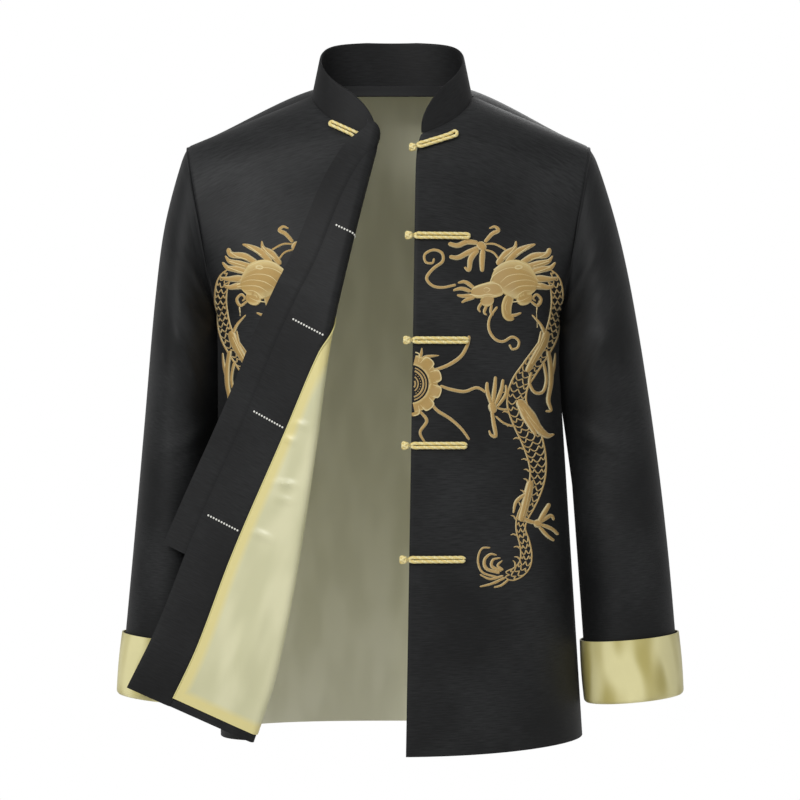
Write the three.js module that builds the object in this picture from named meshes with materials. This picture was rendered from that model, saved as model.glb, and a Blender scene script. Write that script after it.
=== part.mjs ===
// A man's tang jacket, worn open over a general figure: straight black body, set-in sleeves with
// turned-back satin cuffs, a stand collar, cord frogs, and a right front that is folded back outwards.
// Millimetres. +Z is up, the wearer faces -Y, and +X is the wearer's left.
// The origin is at the centre of the neck opening, level with the points where the shoulder seams meet
// the collar.
import * as THREE from "three";

const LEFT = 1;
const RIGHT = -1;

// ---------- driving dimensions ----------
const CLOTH = 1.2; // thickness of the body and sleeve cloth
const SEAM_GAP = 0.3; // clear space between two pieces at a seam
const HEM_FRONT_Z = { [LEFT]: -706, [RIGHT]: -688 }; // the fold draws the right front up
const HEM_SIDE_Z = -696;
const UNDERARM_Z = -235;
const UNDERARM_ROW_Z = UNDERARM_Z + 3; // the middle of the underarm row stands a little above its sides
const SIDE_Y = 5; // the side seams, and the middle of each armhole
const UNDERARM_X = { [LEFT]: 184, [RIGHT]: 192 }; // the folded side hangs a little wider
const SIDE_FLARE = { [LEFT]: 25, [RIGHT]: -4 }; // how far each side swings out from underarm to hem
const FLARE_START_Z = -300;
// The middle of the chest and of the back: y at the neck, how far it swells, and over what height.
const FRONT_PROFILE = { neckY: -62, swell: -64, over: 95 };
const BACK_PROFILE = { neckY: 62, swell: 48, over: 80 };
// How round a panel's rows are: 1 is straight across, 2 an ellipse, and more is fuller at the side.
const ROUNDNESS = { body: 2.5, neck: 1.5, shoulder: 1 };

const NECK_HALF_WIDTH = 88;
const NECK_HALF_DEPTH = 60;
const NECK_CENTRE_Y = 3;
const NECK_FRONT_Z = -46; // front neck point
const NECK_BACK_Z = 22;
const NECK_SIDE_Z = 5;
const NECK_END_ANGLE = { [LEFT]: 22, [RIGHT]: 12 }; // degrees from the centre front to each collar end

const ARMHOLE = { x: { [LEFT]: 200, [RIGHT]: 208 }, z: -143, leanX: 16, halfHeight: 92, halfDepth: 57 };

const COLLAR_HEIGHT_BACK = 48;
const COLLAR_HEIGHT_FRONT = 40;
const COLLAR_THICKNESS = 2.2;
const COLLAR_CORNER = 34; // length of the rounded corner at each front end
const COLLAR_RADIUS = 72; // the mean radius of the neck seam
const COLLAR_END_HEIGHT = 0.12; // of the full height, at the very end
const COLLAR_LEAN = { ends: 2, sides: 10 }; // how far the top edge leans in

const UNDERLAP_WIDTH = 27;
const UNDERLAP_END_Z = -545;
const UNDERLAP_THICKNESS = 1.2;
const FACING_WIDTH = 50;
const FACING_THICKNESS = 0.9;
const LINING_THICKNESS = 0.7;
const LAYER_GAP = 0.8; // clear space between two layers of cloth that lie together
const LAYER_PULL = 0.35; // how far a layer stops from the line where the next one starts
const HEM_TURNING = 9; // the lining stops this far above the hem

const FOLD_TOP_Z = -50; // the right front starts to fold back here
const FOLD_BOTTOM_Z = HEM_FRONT_Z[RIGHT];

const CUFF_HEIGHT = 66;
const CUFF_CLEAR = 2.6; // from the sleeve's outside to the inside of the cuff
const CUFF_THICKNESS = 1.4;
const CUFF_CLEAR_INSIDE = 2.4; // from the sleeve's inside to the face of the part turned in
const CUFF_SWELL = 0.8; // how far its middle stands out
const CUFF_INSIDE_END = 0.95; // how far up the sleeve it is turned in, where the wrist is at 1
const SLEEVE_RUN = 800; // millimetres to 1, going by the sleeve's stretch near the wrist

const CORD_RADIUS = 1.8;
const FROG_LENGTH = { [LEFT]: 58, [RIGHT]: 44 };
const NECK_FROG_LENGTH = { [LEFT]: 52, [RIGHT]: 60 };
const FROG_HEIGHTS = [-156, -267, -378, -498];
const KNOT_RADIUS = 4.6;
const FROG_CLEAR = 0.8; // from the cloth to the cord
const NECK_FROG_CLEAR = 1.8; // more at the neck, where the cloth turns most
const CORD_SEGMENTS = 22;
const CORD_SIDES = 5;
const NECK_FROG_Z = { [LEFT]: -57, [RIGHT]: -54 }; // where the top frog starts, and how steeply it rises
const NECK_FROG_SLOPE = { [LEFT]: 19, [RIGHT]: 26 };
const NECK_FROG_SCALE = 0.85; // its length seen from the front, as the cloth there turns back

// The rows of a panel, by v: from the hem to the underarm, to the end of the neck seam, to the shoulder.
const HEM_ROW = 0;
const UNDERARM_ROW = 0.6;
const NECK_ROW = 0.85;
const SHOULDER_ROW = 1;
const TURN_ANGLE = 72; // where the row from the neck seam's end meets the armhole
const ARMHOLE_STEP = 18; // degrees of the armhole between rows
const ROW_STEPS = 60;
const LOWER_STEPS = 7;
const CHEST_STEPS = (180 - TURN_ANGLE) / ARMHOLE_STEP;
const SHOULDER_STEPS = TURN_ANGLE / ARMHOLE_STEP;

// ---------- small helpers ----------
const vec = (x, y, z) => new THREE.Vector3(x, y, z);
const radians = THREE.MathUtils.degToRad;
const mix = THREE.MathUtils.lerp;
const clamp = THREE.MathUtils.clamp;

// The share of the way from a to b, kept between 0 and 1.
const share = (value, a, b) => clamp((value - a) / (b - a), 0, 1);

// Evenly spaced numbers from a to b.
const steps = (a, b, count) => Array.from({ length: count + 1 }, (_, i) => mix(a, b, i / count));

// A smooth value through [position, value] pairs.
function through(pairs, position) {
  const last = pairs.length - 1;
  const at = (i) => pairs[clamp(i, 0, last)];
  let i = 0;
  while (i < last - 1 && position > pairs[i + 1][0]) i += 1;
  const [a, b] = [at(i), at(i + 1)];
  const slope = (p, q) => (q[0] === p[0] ? 0 : (q[1] - p[1]) / (q[0] - p[0]));
  const width = b[0] - a[0];
  const t = clamp((position - a[0]) / width, 0, 1);
  const startSlope = (slope(at(i - 1), a) + slope(a, b)) / (i === 0 ? 1 : 2);
  const endSlope = (slope(a, b) + slope(b, at(i + 2))) / (i === last - 1 ? 1 : 2);
  const [t2, t3] = [t * t, t * t * t];
  return (
    a[1] * (2 * t3 - 3 * t2 + 1) +
    b[1] * (3 * t2 - 2 * t3) +
    startSlope * width * (t3 - 2 * t2 + t) +
    endSlope * width * (t3 - t2)
  );
}

// ---------- cloth walls ----------
// The triangles of a grid of points, as triples of points.
function gridTriangles(grid) {
  const triangles = [];
  for (let r = 0; r + 1 < grid.length; r += 1) {
    for (let c = 0; c + 1 < grid[r].length; c += 1) {
      const [a, b, d, e] = [grid[r][c], grid[r][c + 1], grid[r + 1][c + 1], grid[r + 1][c]];
      triangles.push([a, b, d], [a, d, e]);
    }
  }
  return triangles;
}

// The triangles between rows that may have different numbers of points. Each row is a list of
// { key, point } in rising order of key, and points with like keys are joined.
function zippedTriangles(rows) {
  const triangles = [];
  for (let r = 0; r + 1 < rows.length; r += 1) {
    const [low, high] = [rows[r], rows[r + 1]];
    let [i, j] = [0, 0];
    while (i + 1 < low.length || j + 1 < high.length) {
      const takeLow = j + 1 >= high.length || (i + 1 < low.length && low[i + 1].key <= high[j + 1].key);
      const next = takeLow ? low[i + 1] : high[j + 1];
      triangles.push([low[i].point, next.point, high[j].point]);
      if (takeLow) i += 1;
      else j += 1;
    }
  }
  return triangles;
}

// Joins triangles of points into one open sheet, with a normal at each point.
function joinSheet(triples) {
  const points = [];
  const index = new Map();
  const idOf = (p) => {
    const key = [p.x, p.y, p.z].map((c) => Math.round(c * 1000)).join();
    if (!index.has(key)) {
      index.set(key, points.length);
      points.push(p.clone());
    }
    return index.get(key);
  };
  const triangles = triples
    .map((triple) => triple.map(idOf))
    .filter(([a, b, c]) => a !== b && b !== c && a !== c);
  const normals = points.map(() => vec(0, 0, 0));
  for (const [a, b, c] of triangles) {
    const side = points[b].clone().sub(points[a]);
    const face = side.cross(points[c].clone().sub(points[a]));
    for (const i of [a, b, c]) normals[i].add(face);
  }
  normals.forEach((n) => n.normalize());
  return { points, index, idOf, triangles, normals };
}

// A sheet of cloth with thickness, between two depths under its face.
// inward(point, normal, onEdge) says which way the thickness goes, pull draws the edges back from a seam,
// and whole is the larger sheet that this one lies on, whose normals it follows.
function sheetGeometry(triples, { from = 0, to = CLOTH, pull = SEAM_GAP / 2, inward, whole }) {
  const { points, triangles, normals } = joinSheet(triples);
  if (whole) points.forEach((p, i) => normals[i].copy(whole.normals[whole.idOf(p)]));
  const edges = new Set(triangles.flatMap(([a, b, c]) => [`${a},${b}`, `${b},${c}`, `${c},${a}`]));
  const rim = [...edges].map((e) => e.split(",").map(Number)).filter(([a, b]) => !edges.has(`${b},${a}`));
  // At each point of the rim, the directions into the sheet from the two edges that meet there.
  const intoSheet = new Map(rim.flat().map((i) => [i, []]));
  for (const [a, b] of rim) {
    const along = points[b].clone().sub(points[a]).normalize();
    for (const i of [a, b]) intoSheet.get(i).push(normals[i].clone().cross(along).normalize());
  }
  const upper = [];
  const lower = [];
  points.forEach((p, i) => {
    const base = p.clone();
    if (intoSheet.has(i)) {
      const [first, second] = intoSheet.get(i);
      const mitre = pull / Math.max(0.4, 1 + first.dot(second));
      base.addScaledVector(first, mitre).addScaledVector(second, mitre);
    }
    const direction = inward ? inward(p, normals[i], intoSheet.has(i)) : normals[i].clone().negate();
    upper.push(base.clone().addScaledVector(direction, from));
    lower.push(base.clone().addScaledVector(direction, to));
  });
  const shift = points.length;
  const faces = [];
  for (const [a, b, c] of triangles) faces.push([a, b, c], [c + shift, b + shift, a + shift]);
  for (const [a, b] of rim) faces.push([b, a, a + shift], [b, a + shift, b + shift]);
  const geometry = new THREE.BufferGeometry();
  geometry.setAttribute(
    "position",
    new THREE.Float32BufferAttribute([...upper, ...lower].flatMap((p) => p.toArray()), 3),
  );
  geometry.setIndex(faces.flat());
  geometry.computeVertexNormals();
  return geometry;
}

// Turns the face of a list of triangles round.
const flipped = (triples) => triples.map(([a, b, c]) => [c, b, a]);

// ---------- the figure that the jacket hangs on ----------
const profileY = ({ neckY, swell, over }, depth) => neckY + swell * (1 - Math.exp(-depth / over));
const frontProfileY = (z) => profileY(FRONT_PROFILE, NECK_FRONT_Z - z);
const backProfileY = (z) => profileY(BACK_PROFILE, NECK_BACK_Z - z);

function sideSeam(side, z) {
  const flare = SIDE_FLARE[side] * share(z, FLARE_START_Z, HEM_SIDE_Z);
  return vec(side * (UNDERARM_X[side] + flare), SIDE_Y, z);
}

// The neck seam's curve, by angle in degrees from the centre front.
function neckCurve(side, angle) {
  const a = radians(angle);
  const mean = (NECK_FRONT_Z + NECK_BACK_Z) / 4 + NECK_SIDE_Z / 2;
  const z =
    mean +
    ((NECK_FRONT_Z - NECK_BACK_Z) / 2) * Math.cos(a) +
    (mean - NECK_SIDE_Z) * Math.cos(2 * a);
  return vec(side * NECK_HALF_WIDTH * Math.sin(a), NECK_CENTRE_Y - NECK_HALF_DEPTH * Math.cos(a), z);
}

// The seam as it is sewn: straight between the angles where the panels have rows.
const neckStations = (side) => [
  ...steps(NECK_END_ANGLE[side], 90, SHOULDER_STEPS),
  ...steps(90, 180, SHOULDER_STEPS).slice(1),
];

function neckSeam(side, angle) {
  const stations = neckStations(side);
  let i = 0;
  while (i < stations.length - 2 && angle > stations[i + 1]) i += 1;
  const [a, b] = [stations[i], stations[i + 1]];
  return neckCurve(side, a).lerp(neckCurve(side, b), (angle - a) / (b - a));
}

// The armhole seam: angle 0 at the shoulder and 180 at the underarm; forward is 1 in front and -1 behind.
function armholeCurve(side, angle, forward) {
  const a = radians(angle);
  return vec(
    side * (ARMHOLE.x[side] + ARMHOLE.leanX * Math.cos(a)),
    SIDE_Y - forward * ARMHOLE.halfDepth * Math.sin(a),
    ARMHOLE.z + ARMHOLE.halfHeight * Math.cos(a),
  );
}

// The seam as it is sewn: straight between the places where the sleeve has points too.
function armhole(side, angle, forward) {
  const from = Math.min(Math.floor(angle / ARMHOLE_STEP) * ARMHOLE_STEP, 180 - ARMHOLE_STEP);
  const to = armholeCurve(side, from + ARMHOLE_STEP, forward);
  return armholeCurve(side, from, forward).lerp(to, (angle - from) / ARMHOLE_STEP);
}

// One row of a half panel: a rounded line from the middle of the body (or the neck seam) out to the side
// (or the armhole), as points with the length along it. half is "front" or "back"; v runs from hem to
// shoulder.
function panelRow(side, half, v) {
  const front = half === "front";
  const middleY = front ? frontProfileY : backProfileY;
  const hemZ = front ? HEM_FRONT_Z[side] : HEM_SIDE_Z;
  const neckAngle = front ? NECK_END_ANGLE[side] : 180;
  const neckEnd = neckSeam(side, neckAngle);
  const forward = front ? 1 : -1;
  let start;
  let end;
  let roundness;
  let slope = 2;
  if (v <= UNDERARM_ROW) {
    const t = v / UNDERARM_ROW;
    const z = mix(hemZ, UNDERARM_ROW_Z, t);
    start = vec(0, middleY(z), z);
    end = sideSeam(side, mix(HEM_SIDE_Z, UNDERARM_Z, t));
    roundness = ROUNDNESS.body;
  } else if (v <= NECK_ROW) {
    const t = share(v, UNDERARM_ROW, NECK_ROW);
    const z = mix(UNDERARM_ROW_Z, neckEnd.z, t);
    start = vec(0, middleY(z), z).lerp(neckEnd.clone().setZ(z), t ** 4);
    end = armhole(side, mix(180, TURN_ANGLE, t), forward);
    roundness = mix(ROUNDNESS.body, ROUNDNESS.neck, t);
  } else {
    const t = share(v, NECK_ROW, SHOULDER_ROW);
    start = neckSeam(side, mix(neckAngle, 90, t));
    end = armhole(side, mix(TURN_ANGLE, 0, t), forward);
    roundness = mix(ROUNDNESS.neck, ROUNDNESS.shoulder, t);
    slope = mix(2, 1, t);
  }
  const points = [];
  const lengths = [0];
  for (const phi of steps(0, Math.PI / 2, ROW_STEPS)) {
    const out = Math.sin(phi) ** (2 / roundness);
    const back = Math.max(0, Math.cos(phi)) ** (2 / roundness);
    const p = vec(
      mix(start.x, end.x, out),
      mix(end.y, start.y, back),
      mix(start.z, end.z, out ** slope),
    );
    if (points.length) lengths.push(lengths.at(-1) + p.distanceTo(points.at(-1)));
    points.push(p);
  }
  return { points, lengths, length: lengths.at(-1) };
}

// The point of a row at a length along it, and past its ends in a straight line.
function alongRow({ points, lengths }, distance) {
  let i = 1;
  while (i < lengths.length - 1 && lengths[i] < distance) i += 1;
  const t = (distance - lengths[i - 1]) / (lengths[i] - lengths[i - 1]);
  return points[i - 1].clone().lerp(points[i], t);
}

// The length along a row at which it is x away from the middle.
function distanceAtX({ points, lengths }, x) {
  let i = 1;
  while (i < points.length - 1 && Math.abs(points[i].x) < x) i += 1;
  const [a, b] = [Math.abs(points[i - 1].x), Math.abs(points[i].x)];
  return mix(lengths[i - 1], lengths[i], (x - a) / (b - a));
}

// The height of a row's front end, for rows below the neck point.
const rowHeight = (side, v) =>
  v <= UNDERARM_ROW
    ? mix(HEM_FRONT_Z[side], UNDERARM_ROW_Z, v / UNDERARM_ROW)
    : mix(UNDERARM_ROW_Z, NECK_FRONT_Z, share(v, UNDERARM_ROW, NECK_ROW));

const rowAtHeight = (side, z) =>
  z < UNDERARM_ROW_Z
    ? UNDERARM_ROW * share(z, HEM_FRONT_Z[side], UNDERARM_ROW_Z)
    : mix(UNDERARM_ROW, NECK_ROW, share(z, UNDERARM_ROW_Z, NECK_FRONT_Z));

// Which way a wall's thickness goes at an edge that it shares: towards a line inside the body.
const CORE_WIDTH = 0.45; // the core's width as a share of the body's
const CORE_TOP_Z = -150;
function intoBody(p) {
  const core = vec(CORE_WIDTH * p.x, SIDE_Y, Math.min(p.z, CORE_TOP_Z));
  return core.sub(p).normalize();
}

const bodyInward = (p, normal, onEdge) => (onEdge ? intoBody(p) : normal.clone().negate());

// ---------- left front ----------
// Its front edge runs nearly straight, and turns away from the middle just under the neck.
const LEFT_EDGE = { hemX: 15, neckX: 26, turnX: 6.5, turnOver: 12 };
const leftEdgeX = (z) =>
  mix(LEFT_EDGE.hemX, LEFT_EDGE.neckX, share(z, HEM_FRONT_Z[LEFT], NECK_FRONT_Z)) +
  LEFT_EDGE.turnX * Math.exp((z - NECK_FRONT_Z) / LEFT_EDGE.turnOver);

// A point of the left front: v from hem to shoulder, q the distance from its front edge.
function leftFrontPoint(v, q) {
  const row = panelRow(LEFT, "front", v);
  const startsAt = v <= NECK_ROW ? distanceAtX(row, leftEdgeX(rowHeight(LEFT, v))) : 0;
  return alongRow(row, startsAt + q);
}

function leftFrontWidth(v) {
  const row = panelRow(LEFT, "front", v);
  return row.length - (v <= NECK_ROW ? distanceAtX(row, leftEdgeX(rowHeight(LEFT, v))) : 0);
}

// ---------- right front, folded back along a slanting line ----------
// Each list gives a measure at shares of the way from the fold's top to the hem.
const FOLD_X = [
  [0, 20], [0.05, 28], [0.25, 59], [0.35, 71], [0.5, 83.5], [0.75, 108], [0.9, 128], [1, 149],
];
const FLAP_WIDTH = [[0, 0], [0.05, 20], [0.25, 46], [0.5, 91], [0.75, 132], [1, 152]];
const FLAP_LEAN = [[0, 2], [0.12, 9], [0.3, 16], [0.5, 22], [0.73, 19], [1, 10]]; // degrees backwards
const FLAP_RISE = [[0, 33], [0.25, 28.5], [0.5, 27], [0.75, 23.5], [1, 22]]; // degrees its threads climb
const FOLD_RADIUS = { top: 5.2, hem: 3.4 };
const ROLL_ARC = 1.12; // the arc of the fold, in half turns

const foldShare = (z) => share(z, FOLD_TOP_Z, FOLD_BOTTOM_Z);
const foldX = (z) => through(FOLD_X, foldShare(z));
const flapWidth = (z) => through(FLAP_WIDTH, foldShare(z));
const flapLean = (z) => radians(through(FLAP_LEAN, foldShare(z)));
const flapRise = (z) => radians(through(FLAP_RISE, foldShare(z)));
const foldRadius = (z) => mix(FOLD_RADIUS.top, FOLD_RADIUS.hem, foldShare(z));
const foldRoll = (z) => ROLL_ARC * Math.PI * foldRadius(z);

function foldPoint(v) {
  const row = panelRow(RIGHT, "front", v);
  return alongRow(row, distanceAtX(row, foldX(rowHeight(RIGHT, v))));
}

// The fold's own directions at a row: up along it, out of the body, and across it towards the front edge.
function foldFrame(v) {
  const step = 0.004;
  const row = panelRow(RIGHT, "front", v);
  const at = distanceAtX(row, foldX(rowHeight(RIGHT, v)));
  const point = alongRow(row, at);
  const towardsEdge = point.clone().sub(alongRow(row, at + 3)).normalize();
  const [low, high] = [Math.max(HEM_ROW, v - step), Math.min(NECK_ROW, v + step)];
  const up = foldPoint(high).sub(foldPoint(low)).normalize();
  const slant = Math.atan2(up.x, up.z);
  const out = towardsEdge.clone().cross(up).normalize();
  const across = up.clone().cross(out).normalize();
  const rise = Math.sin(flapRise(rowHeight(RIGHT, v)) - slant);
  return { row, at, point, up, out, across, rise };
}

// A point of the right front: v from hem to neck, q the distance from its front edge, which is negative on
// the underlap. It lies on the body up to the fold, turns round it, and goes back over itself.
function rightFrontPoint(v, q) {
  if (v > NECK_ROW) return alongRow(panelRow(RIGHT, "front", v), q);
  const z = rowHeight(RIGHT, v);
  const { row, at, point, up, out, across, rise } = foldFrame(v);
  const past = flapWidth(z) - q;
  if (past <= 0) return alongRow(row, at - past);
  const radius = foldRadius(z);
  const run = Math.sqrt(1 - rise * rise);
  const lean = flapLean(z);
  const target = vec(-Math.cos(lean), Math.sin(lean), 0);
  const turn = Math.PI + Math.atan2(-target.dot(out), -target.dot(across));
  const angle = Math.min(turn, (past * run) / radius);
  const flat = past * run - angle * radius;
  return point
    .clone()
    .addScaledVector(across, radius * Math.sin(angle) + flat * Math.cos(angle))
    .addScaledVector(out, radius * (1 - Math.cos(angle)) + flat * Math.sin(angle))
    .addScaledVector(up, past * rise);
}

function rightFrontWidth(v) {
  const row = panelRow(RIGHT, "front", v);
  if (v > NECK_ROW) return row.length;
  const z = rowHeight(RIGHT, v);
  return flapWidth(z) + row.length - distanceAtX(row, foldX(z));
}

// One row of the right front between two distances from its front edge, as { key, point } for each place.
// The keys are distances from the fold, so that the rows join up along it.
function rightFrontRow(v, from, to) {
  const flap = v > NECK_ROW ? 0 : flapWidth(rowHeight(RIGHT, v));
  const roll = v > NECK_ROW ? 1 : foldRoll(rowHeight(RIGHT, v));
  const keys = [
    ...steps(-flap - UNDERLAP_WIDTH, -flap, 2),
    ...steps(-flap, Math.max(-flap, -roll), FLAP_COLUMNS),
    ...steps(-roll, 0, ROLL_COLUMNS),
    ...steps(0, rightFrontWidth(v) - flap, BODY_COLUMNS),
  ];
  const ends = [from - flap, to - flap];
  const inside = keys.filter((k) => k > ends[0] + END_CLEAR && k < ends[1] - END_CLEAR);
  const ordered = [...new Set(inside)].sort((a, b) => a - b);
  const kept = ordered.filter((k, i) => i === 0 || k - ordered[i - 1] > LEAST_STEP);
  return [ends[0], ...kept, ends[1]].map((key) => ({ key, point: rightFrontPoint(v, key + flap) }));
}

const LEFT_COLUMNS = 9;
const BACK_COLUMNS = 7;
const FLAP_COLUMNS = 4;
const ROLL_COLUMNS = 4;
const BODY_COLUMNS = 5;
const END_CLEAR = 2.5; // how near a row's ends its next points may be, and how near each other
const LEAST_STEP = 1;
const LOWER_ROWS = steps(HEM_ROW, UNDERARM_ROW, LOWER_STEPS);
const CHEST_ROWS = steps(UNDERARM_ROW, NECK_ROW, CHEST_STEPS).slice(1);
const SHOULDER_ROWS = steps(NECK_ROW, SHOULDER_ROW, SHOULDER_STEPS).slice(1);
const PANEL_ROWS = [...LOWER_ROWS, ...CHEST_ROWS, ...SHOULDER_ROWS];
const HEM_TURNING_ROW = rowAtHeight(RIGHT, HEM_FRONT_Z[RIGHT] + HEM_TURNING);
// More rows where the fold begins, and where the facing's edge goes round it.
const UNDERLAP_END_ROW = rowAtHeight(RIGHT, UNDERLAP_END_Z);
const FOLD_HEIGHTS = [-82, -89, -98, -124, -212, -222, -243, -255, -268];
const FOLD_ROWS = FOLD_HEIGHTS.map((z) => rowAtHeight(RIGHT, z));
const EXTRA_ROWS = [HEM_TURNING_ROW, UNDERLAP_END_ROW, ...FOLD_ROWS];
const EDGE_ROWS = [...LOWER_ROWS, ...CHEST_ROWS, ...EXTRA_ROWS].sort((a, b) => a - b);

function leftFront() {
  const grid = PANEL_ROWS.map((v) =>
    steps(0, leftFrontWidth(v), LEFT_COLUMNS).map((q) => leftFrontPoint(v, q)),
  );
  return sheetGeometry(gridTriangles(grid), { inward: bodyInward });
}

// The right front's triangles on either side of the line where its facing ends.
const rightFrontPart = (rows, from, to) =>
  flipped(zippedTriangles(rows.map((v) => rightFrontRow(v, from, Math.min(to, rightFrontWidth(v))))));
const facedPart = (rows) => rightFrontPart(rows, 0, FACING_WIDTH);
const linedPart = (rows) => rightFrontPart(rows, FACING_WIDTH, Infinity);
const underlapPart = () =>
  rightFrontPart(EDGE_ROWS.filter((v) => v >= UNDERLAP_END_ROW), -UNDERLAP_WIDTH, 0);
const frontPart = () => {
  const rows = [...EDGE_ROWS, ...SHOULDER_ROWS];
  return [...facedPart(rows), ...linedPart(rows)];
};
const rightWhole = () => joinSheet([...underlapPart(), ...frontPart()]);

// Only the right front's shared edges are drawn into the body. Elsewhere the thickness follows the cloth.
const SHARED_EDGE_Y = -40; // the side, armhole, shoulder and neck seams are all behind this
const rightInward = (p, normal, onEdge) =>
  onEdge && p.y > SHARED_EDGE_Y ? intoBody(p) : normal.clone().negate();

const rightFront = (whole) => sheetGeometry(frontPart(), { inward: rightInward, whole });
const underlap = (whole) =>
  sheetGeometry(underlapPart(), { to: UNDERLAP_THICKNESS, whole, pull: LAYER_PULL });

const INNER_LAYER = CLOTH + LAYER_GAP;

function facing(whole) {
  const layer = { from: INNER_LAYER, to: INNER_LAYER + FACING_THICKNESS, whole };
  return sheetGeometry(facedPart(EDGE_ROWS), layer);
}

function lining(whole) {
  const rows = EDGE_ROWS.filter((v) => v >= HEM_TURNING_ROW);
  const depths = { from: INNER_LAYER, to: INNER_LAYER + LINING_THICKNESS };
  return sheetGeometry(linedPart(rows), { ...depths, whole, inward: rightInward, pull: SEAM_GAP });
}

// ---------- back ----------
function back() {
  const half = (side) =>
    PANEL_ROWS.map((v) => {
      const row = panelRow(side, "back", v);
      return steps(0, row.length, BACK_COLUMNS).map((d) => alongRow(row, d));
    });
  const triples = [...flipped(gridTriangles(half(LEFT))), ...gridTriangles(half(RIGHT))];
  return sheetGeometry(triples, { inward: bodyInward });
}

// ---------- sleeves and cuffs ----------
// Heights and distances from the middle of the sleeve's outer and inner lines, from shoulder to wrist.
const SLEEVE_OUTER = [
  [0, 216, -51], [0.1, 226, -70], [0.25, 247, -139], [0.4, 264, -218],
  [0.6, 285.5, -355], [0.8, 301.5, -490], [1, 315, -650],
];
const SLEEVE_INNER = [
  [0, 184, -235], [0.1, 188, -243], [0.25, 189.5, -262], [0.4, 190, -300],
  [0.6, 194.5, -380], [0.8, 203, -500], [1, 214, -660],
];
const SLEEVE_DEPTH = [[0, ARMHOLE.halfDepth], [0.15, 62], [0.35, 67], [0.6, 62], [1, 50]];
const SLEEVE_FORWARD_Y = -18; // the wrist hangs forward of the shoulder
const SLEEVE_SWING = { [LEFT]: 0, [RIGHT]: 1 }; // the right sleeve hangs closer to the body
const RIGHT_OUTER_SHIFT = [[0, 8], [0.1, 6], [0.25, 2.5], [0.4, -4.5], [0.6, -14.5], [0.8, -19], [1, -18]];
const RIGHT_INNER_SHIFT = [[0, 8], [0.1, 8], [0.25, 7], [0.4, 5], [0.6, 0], [0.8, -8.5], [1, -17]];

// A point of a sleeve: s from armhole to wrist, angle in degrees from the outer line round by the front.
function sleevePoint(side, s, angle, offset = 0) {
  const pick = (table, column) => through(table.map((row) => [row[0], row[column]]), s);
  const shift = (table) => SLEEVE_SWING[side] * through(table, s);
  const outer = vec(pick(SLEEVE_OUTER, 1) + shift(RIGHT_OUTER_SHIFT), 0, pick(SLEEVE_OUTER, 2));
  const inner = vec(pick(SLEEVE_INNER, 1) + shift(RIGHT_INNER_SHIFT), 0, pick(SLEEVE_INNER, 2));
  const centre = outer.clone().add(inner).multiplyScalar(0.5);
  const axis = outer.clone().sub(inner).multiplyScalar(0.5);
  const reach = axis.length();
  const a = radians(angle);
  const forward = mix(SIDE_Y, SLEEVE_FORWARD_Y, share(s, 0.1, 1));
  const depth = through(SLEEVE_DEPTH, s) + offset;
  const p = centre.addScaledVector(axis, ((reach + offset) / reach) * Math.cos(a));
  return vec(side * p.x, forward - depth * Math.sin(a), p.z);
}

const SLEEVE_SIDES = 360 / ARMHOLE_STEP;

// Rings of a sleeve at the given places, each [s, offset from the sleeve's outside].
const sleeveRings = (side, rings) =>
  rings.map(([s, offset]) =>
    steps(0, 360, SLEEVE_SIDES).map((angle) => sleevePoint(side, s, angle % 360, offset)),
  );

const ringTriangles = (side, grid) => (side === LEFT ? gridTriangles(grid) : flipped(gridTriangles(grid)));

const SLEEVE_PLACES = [0, 0.06, 0.14, 0.23, 0.34, 0.47, 0.63, 0.81, 0.985];

function sleeve(side) {
  const grid = sleeveRings(side, SLEEVE_PLACES.map((s) => [s, 0]));
  // The first ring stands clear of the armhole seam.
  grid[0].forEach((p) => p.add(vec(side * 2 * SEAM_GAP, 0, 0)));
  const centre = vec(side * (ARMHOLE.x[side] + 2 * SEAM_GAP), SIDE_Y, ARMHOLE.z);
  const inward = (p, normal, onEdge) =>
    onEdge && p.z > UNDERARM_Z - 40 ? centre.clone().sub(p).normalize() : normal.clone().negate();
  return sheetGeometry(ringTriangles(side, grid), { inward, pull: 0 });
}

// A turned-back cuff, from its top edge down the outside, round the wrist edge and up inside the sleeve.
function cuff(side) {
  const top = 1 - CUFF_HEIGHT / SLEEVE_RUN;
  const outside = CUFF_CLEAR + CUFF_THICKNESS;
  const inside = -(CLOTH + CUFF_CLEAR_INSIDE);
  const rings = [
    [top, outside],
    [mix(top, 1, 0.5), outside + CUFF_SWELL],
    [0.992, outside],
    [1, (outside + 1) / 2],
    [1, inside + 1],
    [CUFF_INSIDE_END, inside],
  ];
  return sheetGeometry(ringTriangles(side, sleeveRings(side, rings)), { to: CUFF_THICKNESS, pull: 0 });
}

// ---------- collar ----------
const collarHeight = (angle) => mix(COLLAR_HEIGHT_FRONT, COLLAR_HEIGHT_BACK, share(angle, 80, 160));

// A point of the collar: angle from the centre front on one side, h from the seam to the top edge.
function collarPoint(side, angle, h) {
  const seam = neckSeam(side, angle);
  const a = radians(angle);
  const lean = mix(COLLAR_LEAN.ends, COLLAR_LEAN.sides, Math.sin(a) ** 2);
  const radial = vec(seam.x, seam.y - NECK_CENTRE_Y, 0).normalize();
  const arc = radians(angle - NECK_END_ANGLE[side]) * COLLAR_RADIUS;
  const corner = clamp(arc / COLLAR_CORNER, 0, 1);
  const rounding = Math.sqrt(1 - (1 - corner) ** 2);
  const reach = collarHeight(angle) * mix(COLLAR_END_HEIGHT, 1, rounding) * h;
  return seam
    .addScaledVector(radial, (-lean * reach) / COLLAR_HEIGHT_BACK)
    .add(vec(0, 0, SEAM_GAP + reach));
}

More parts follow.
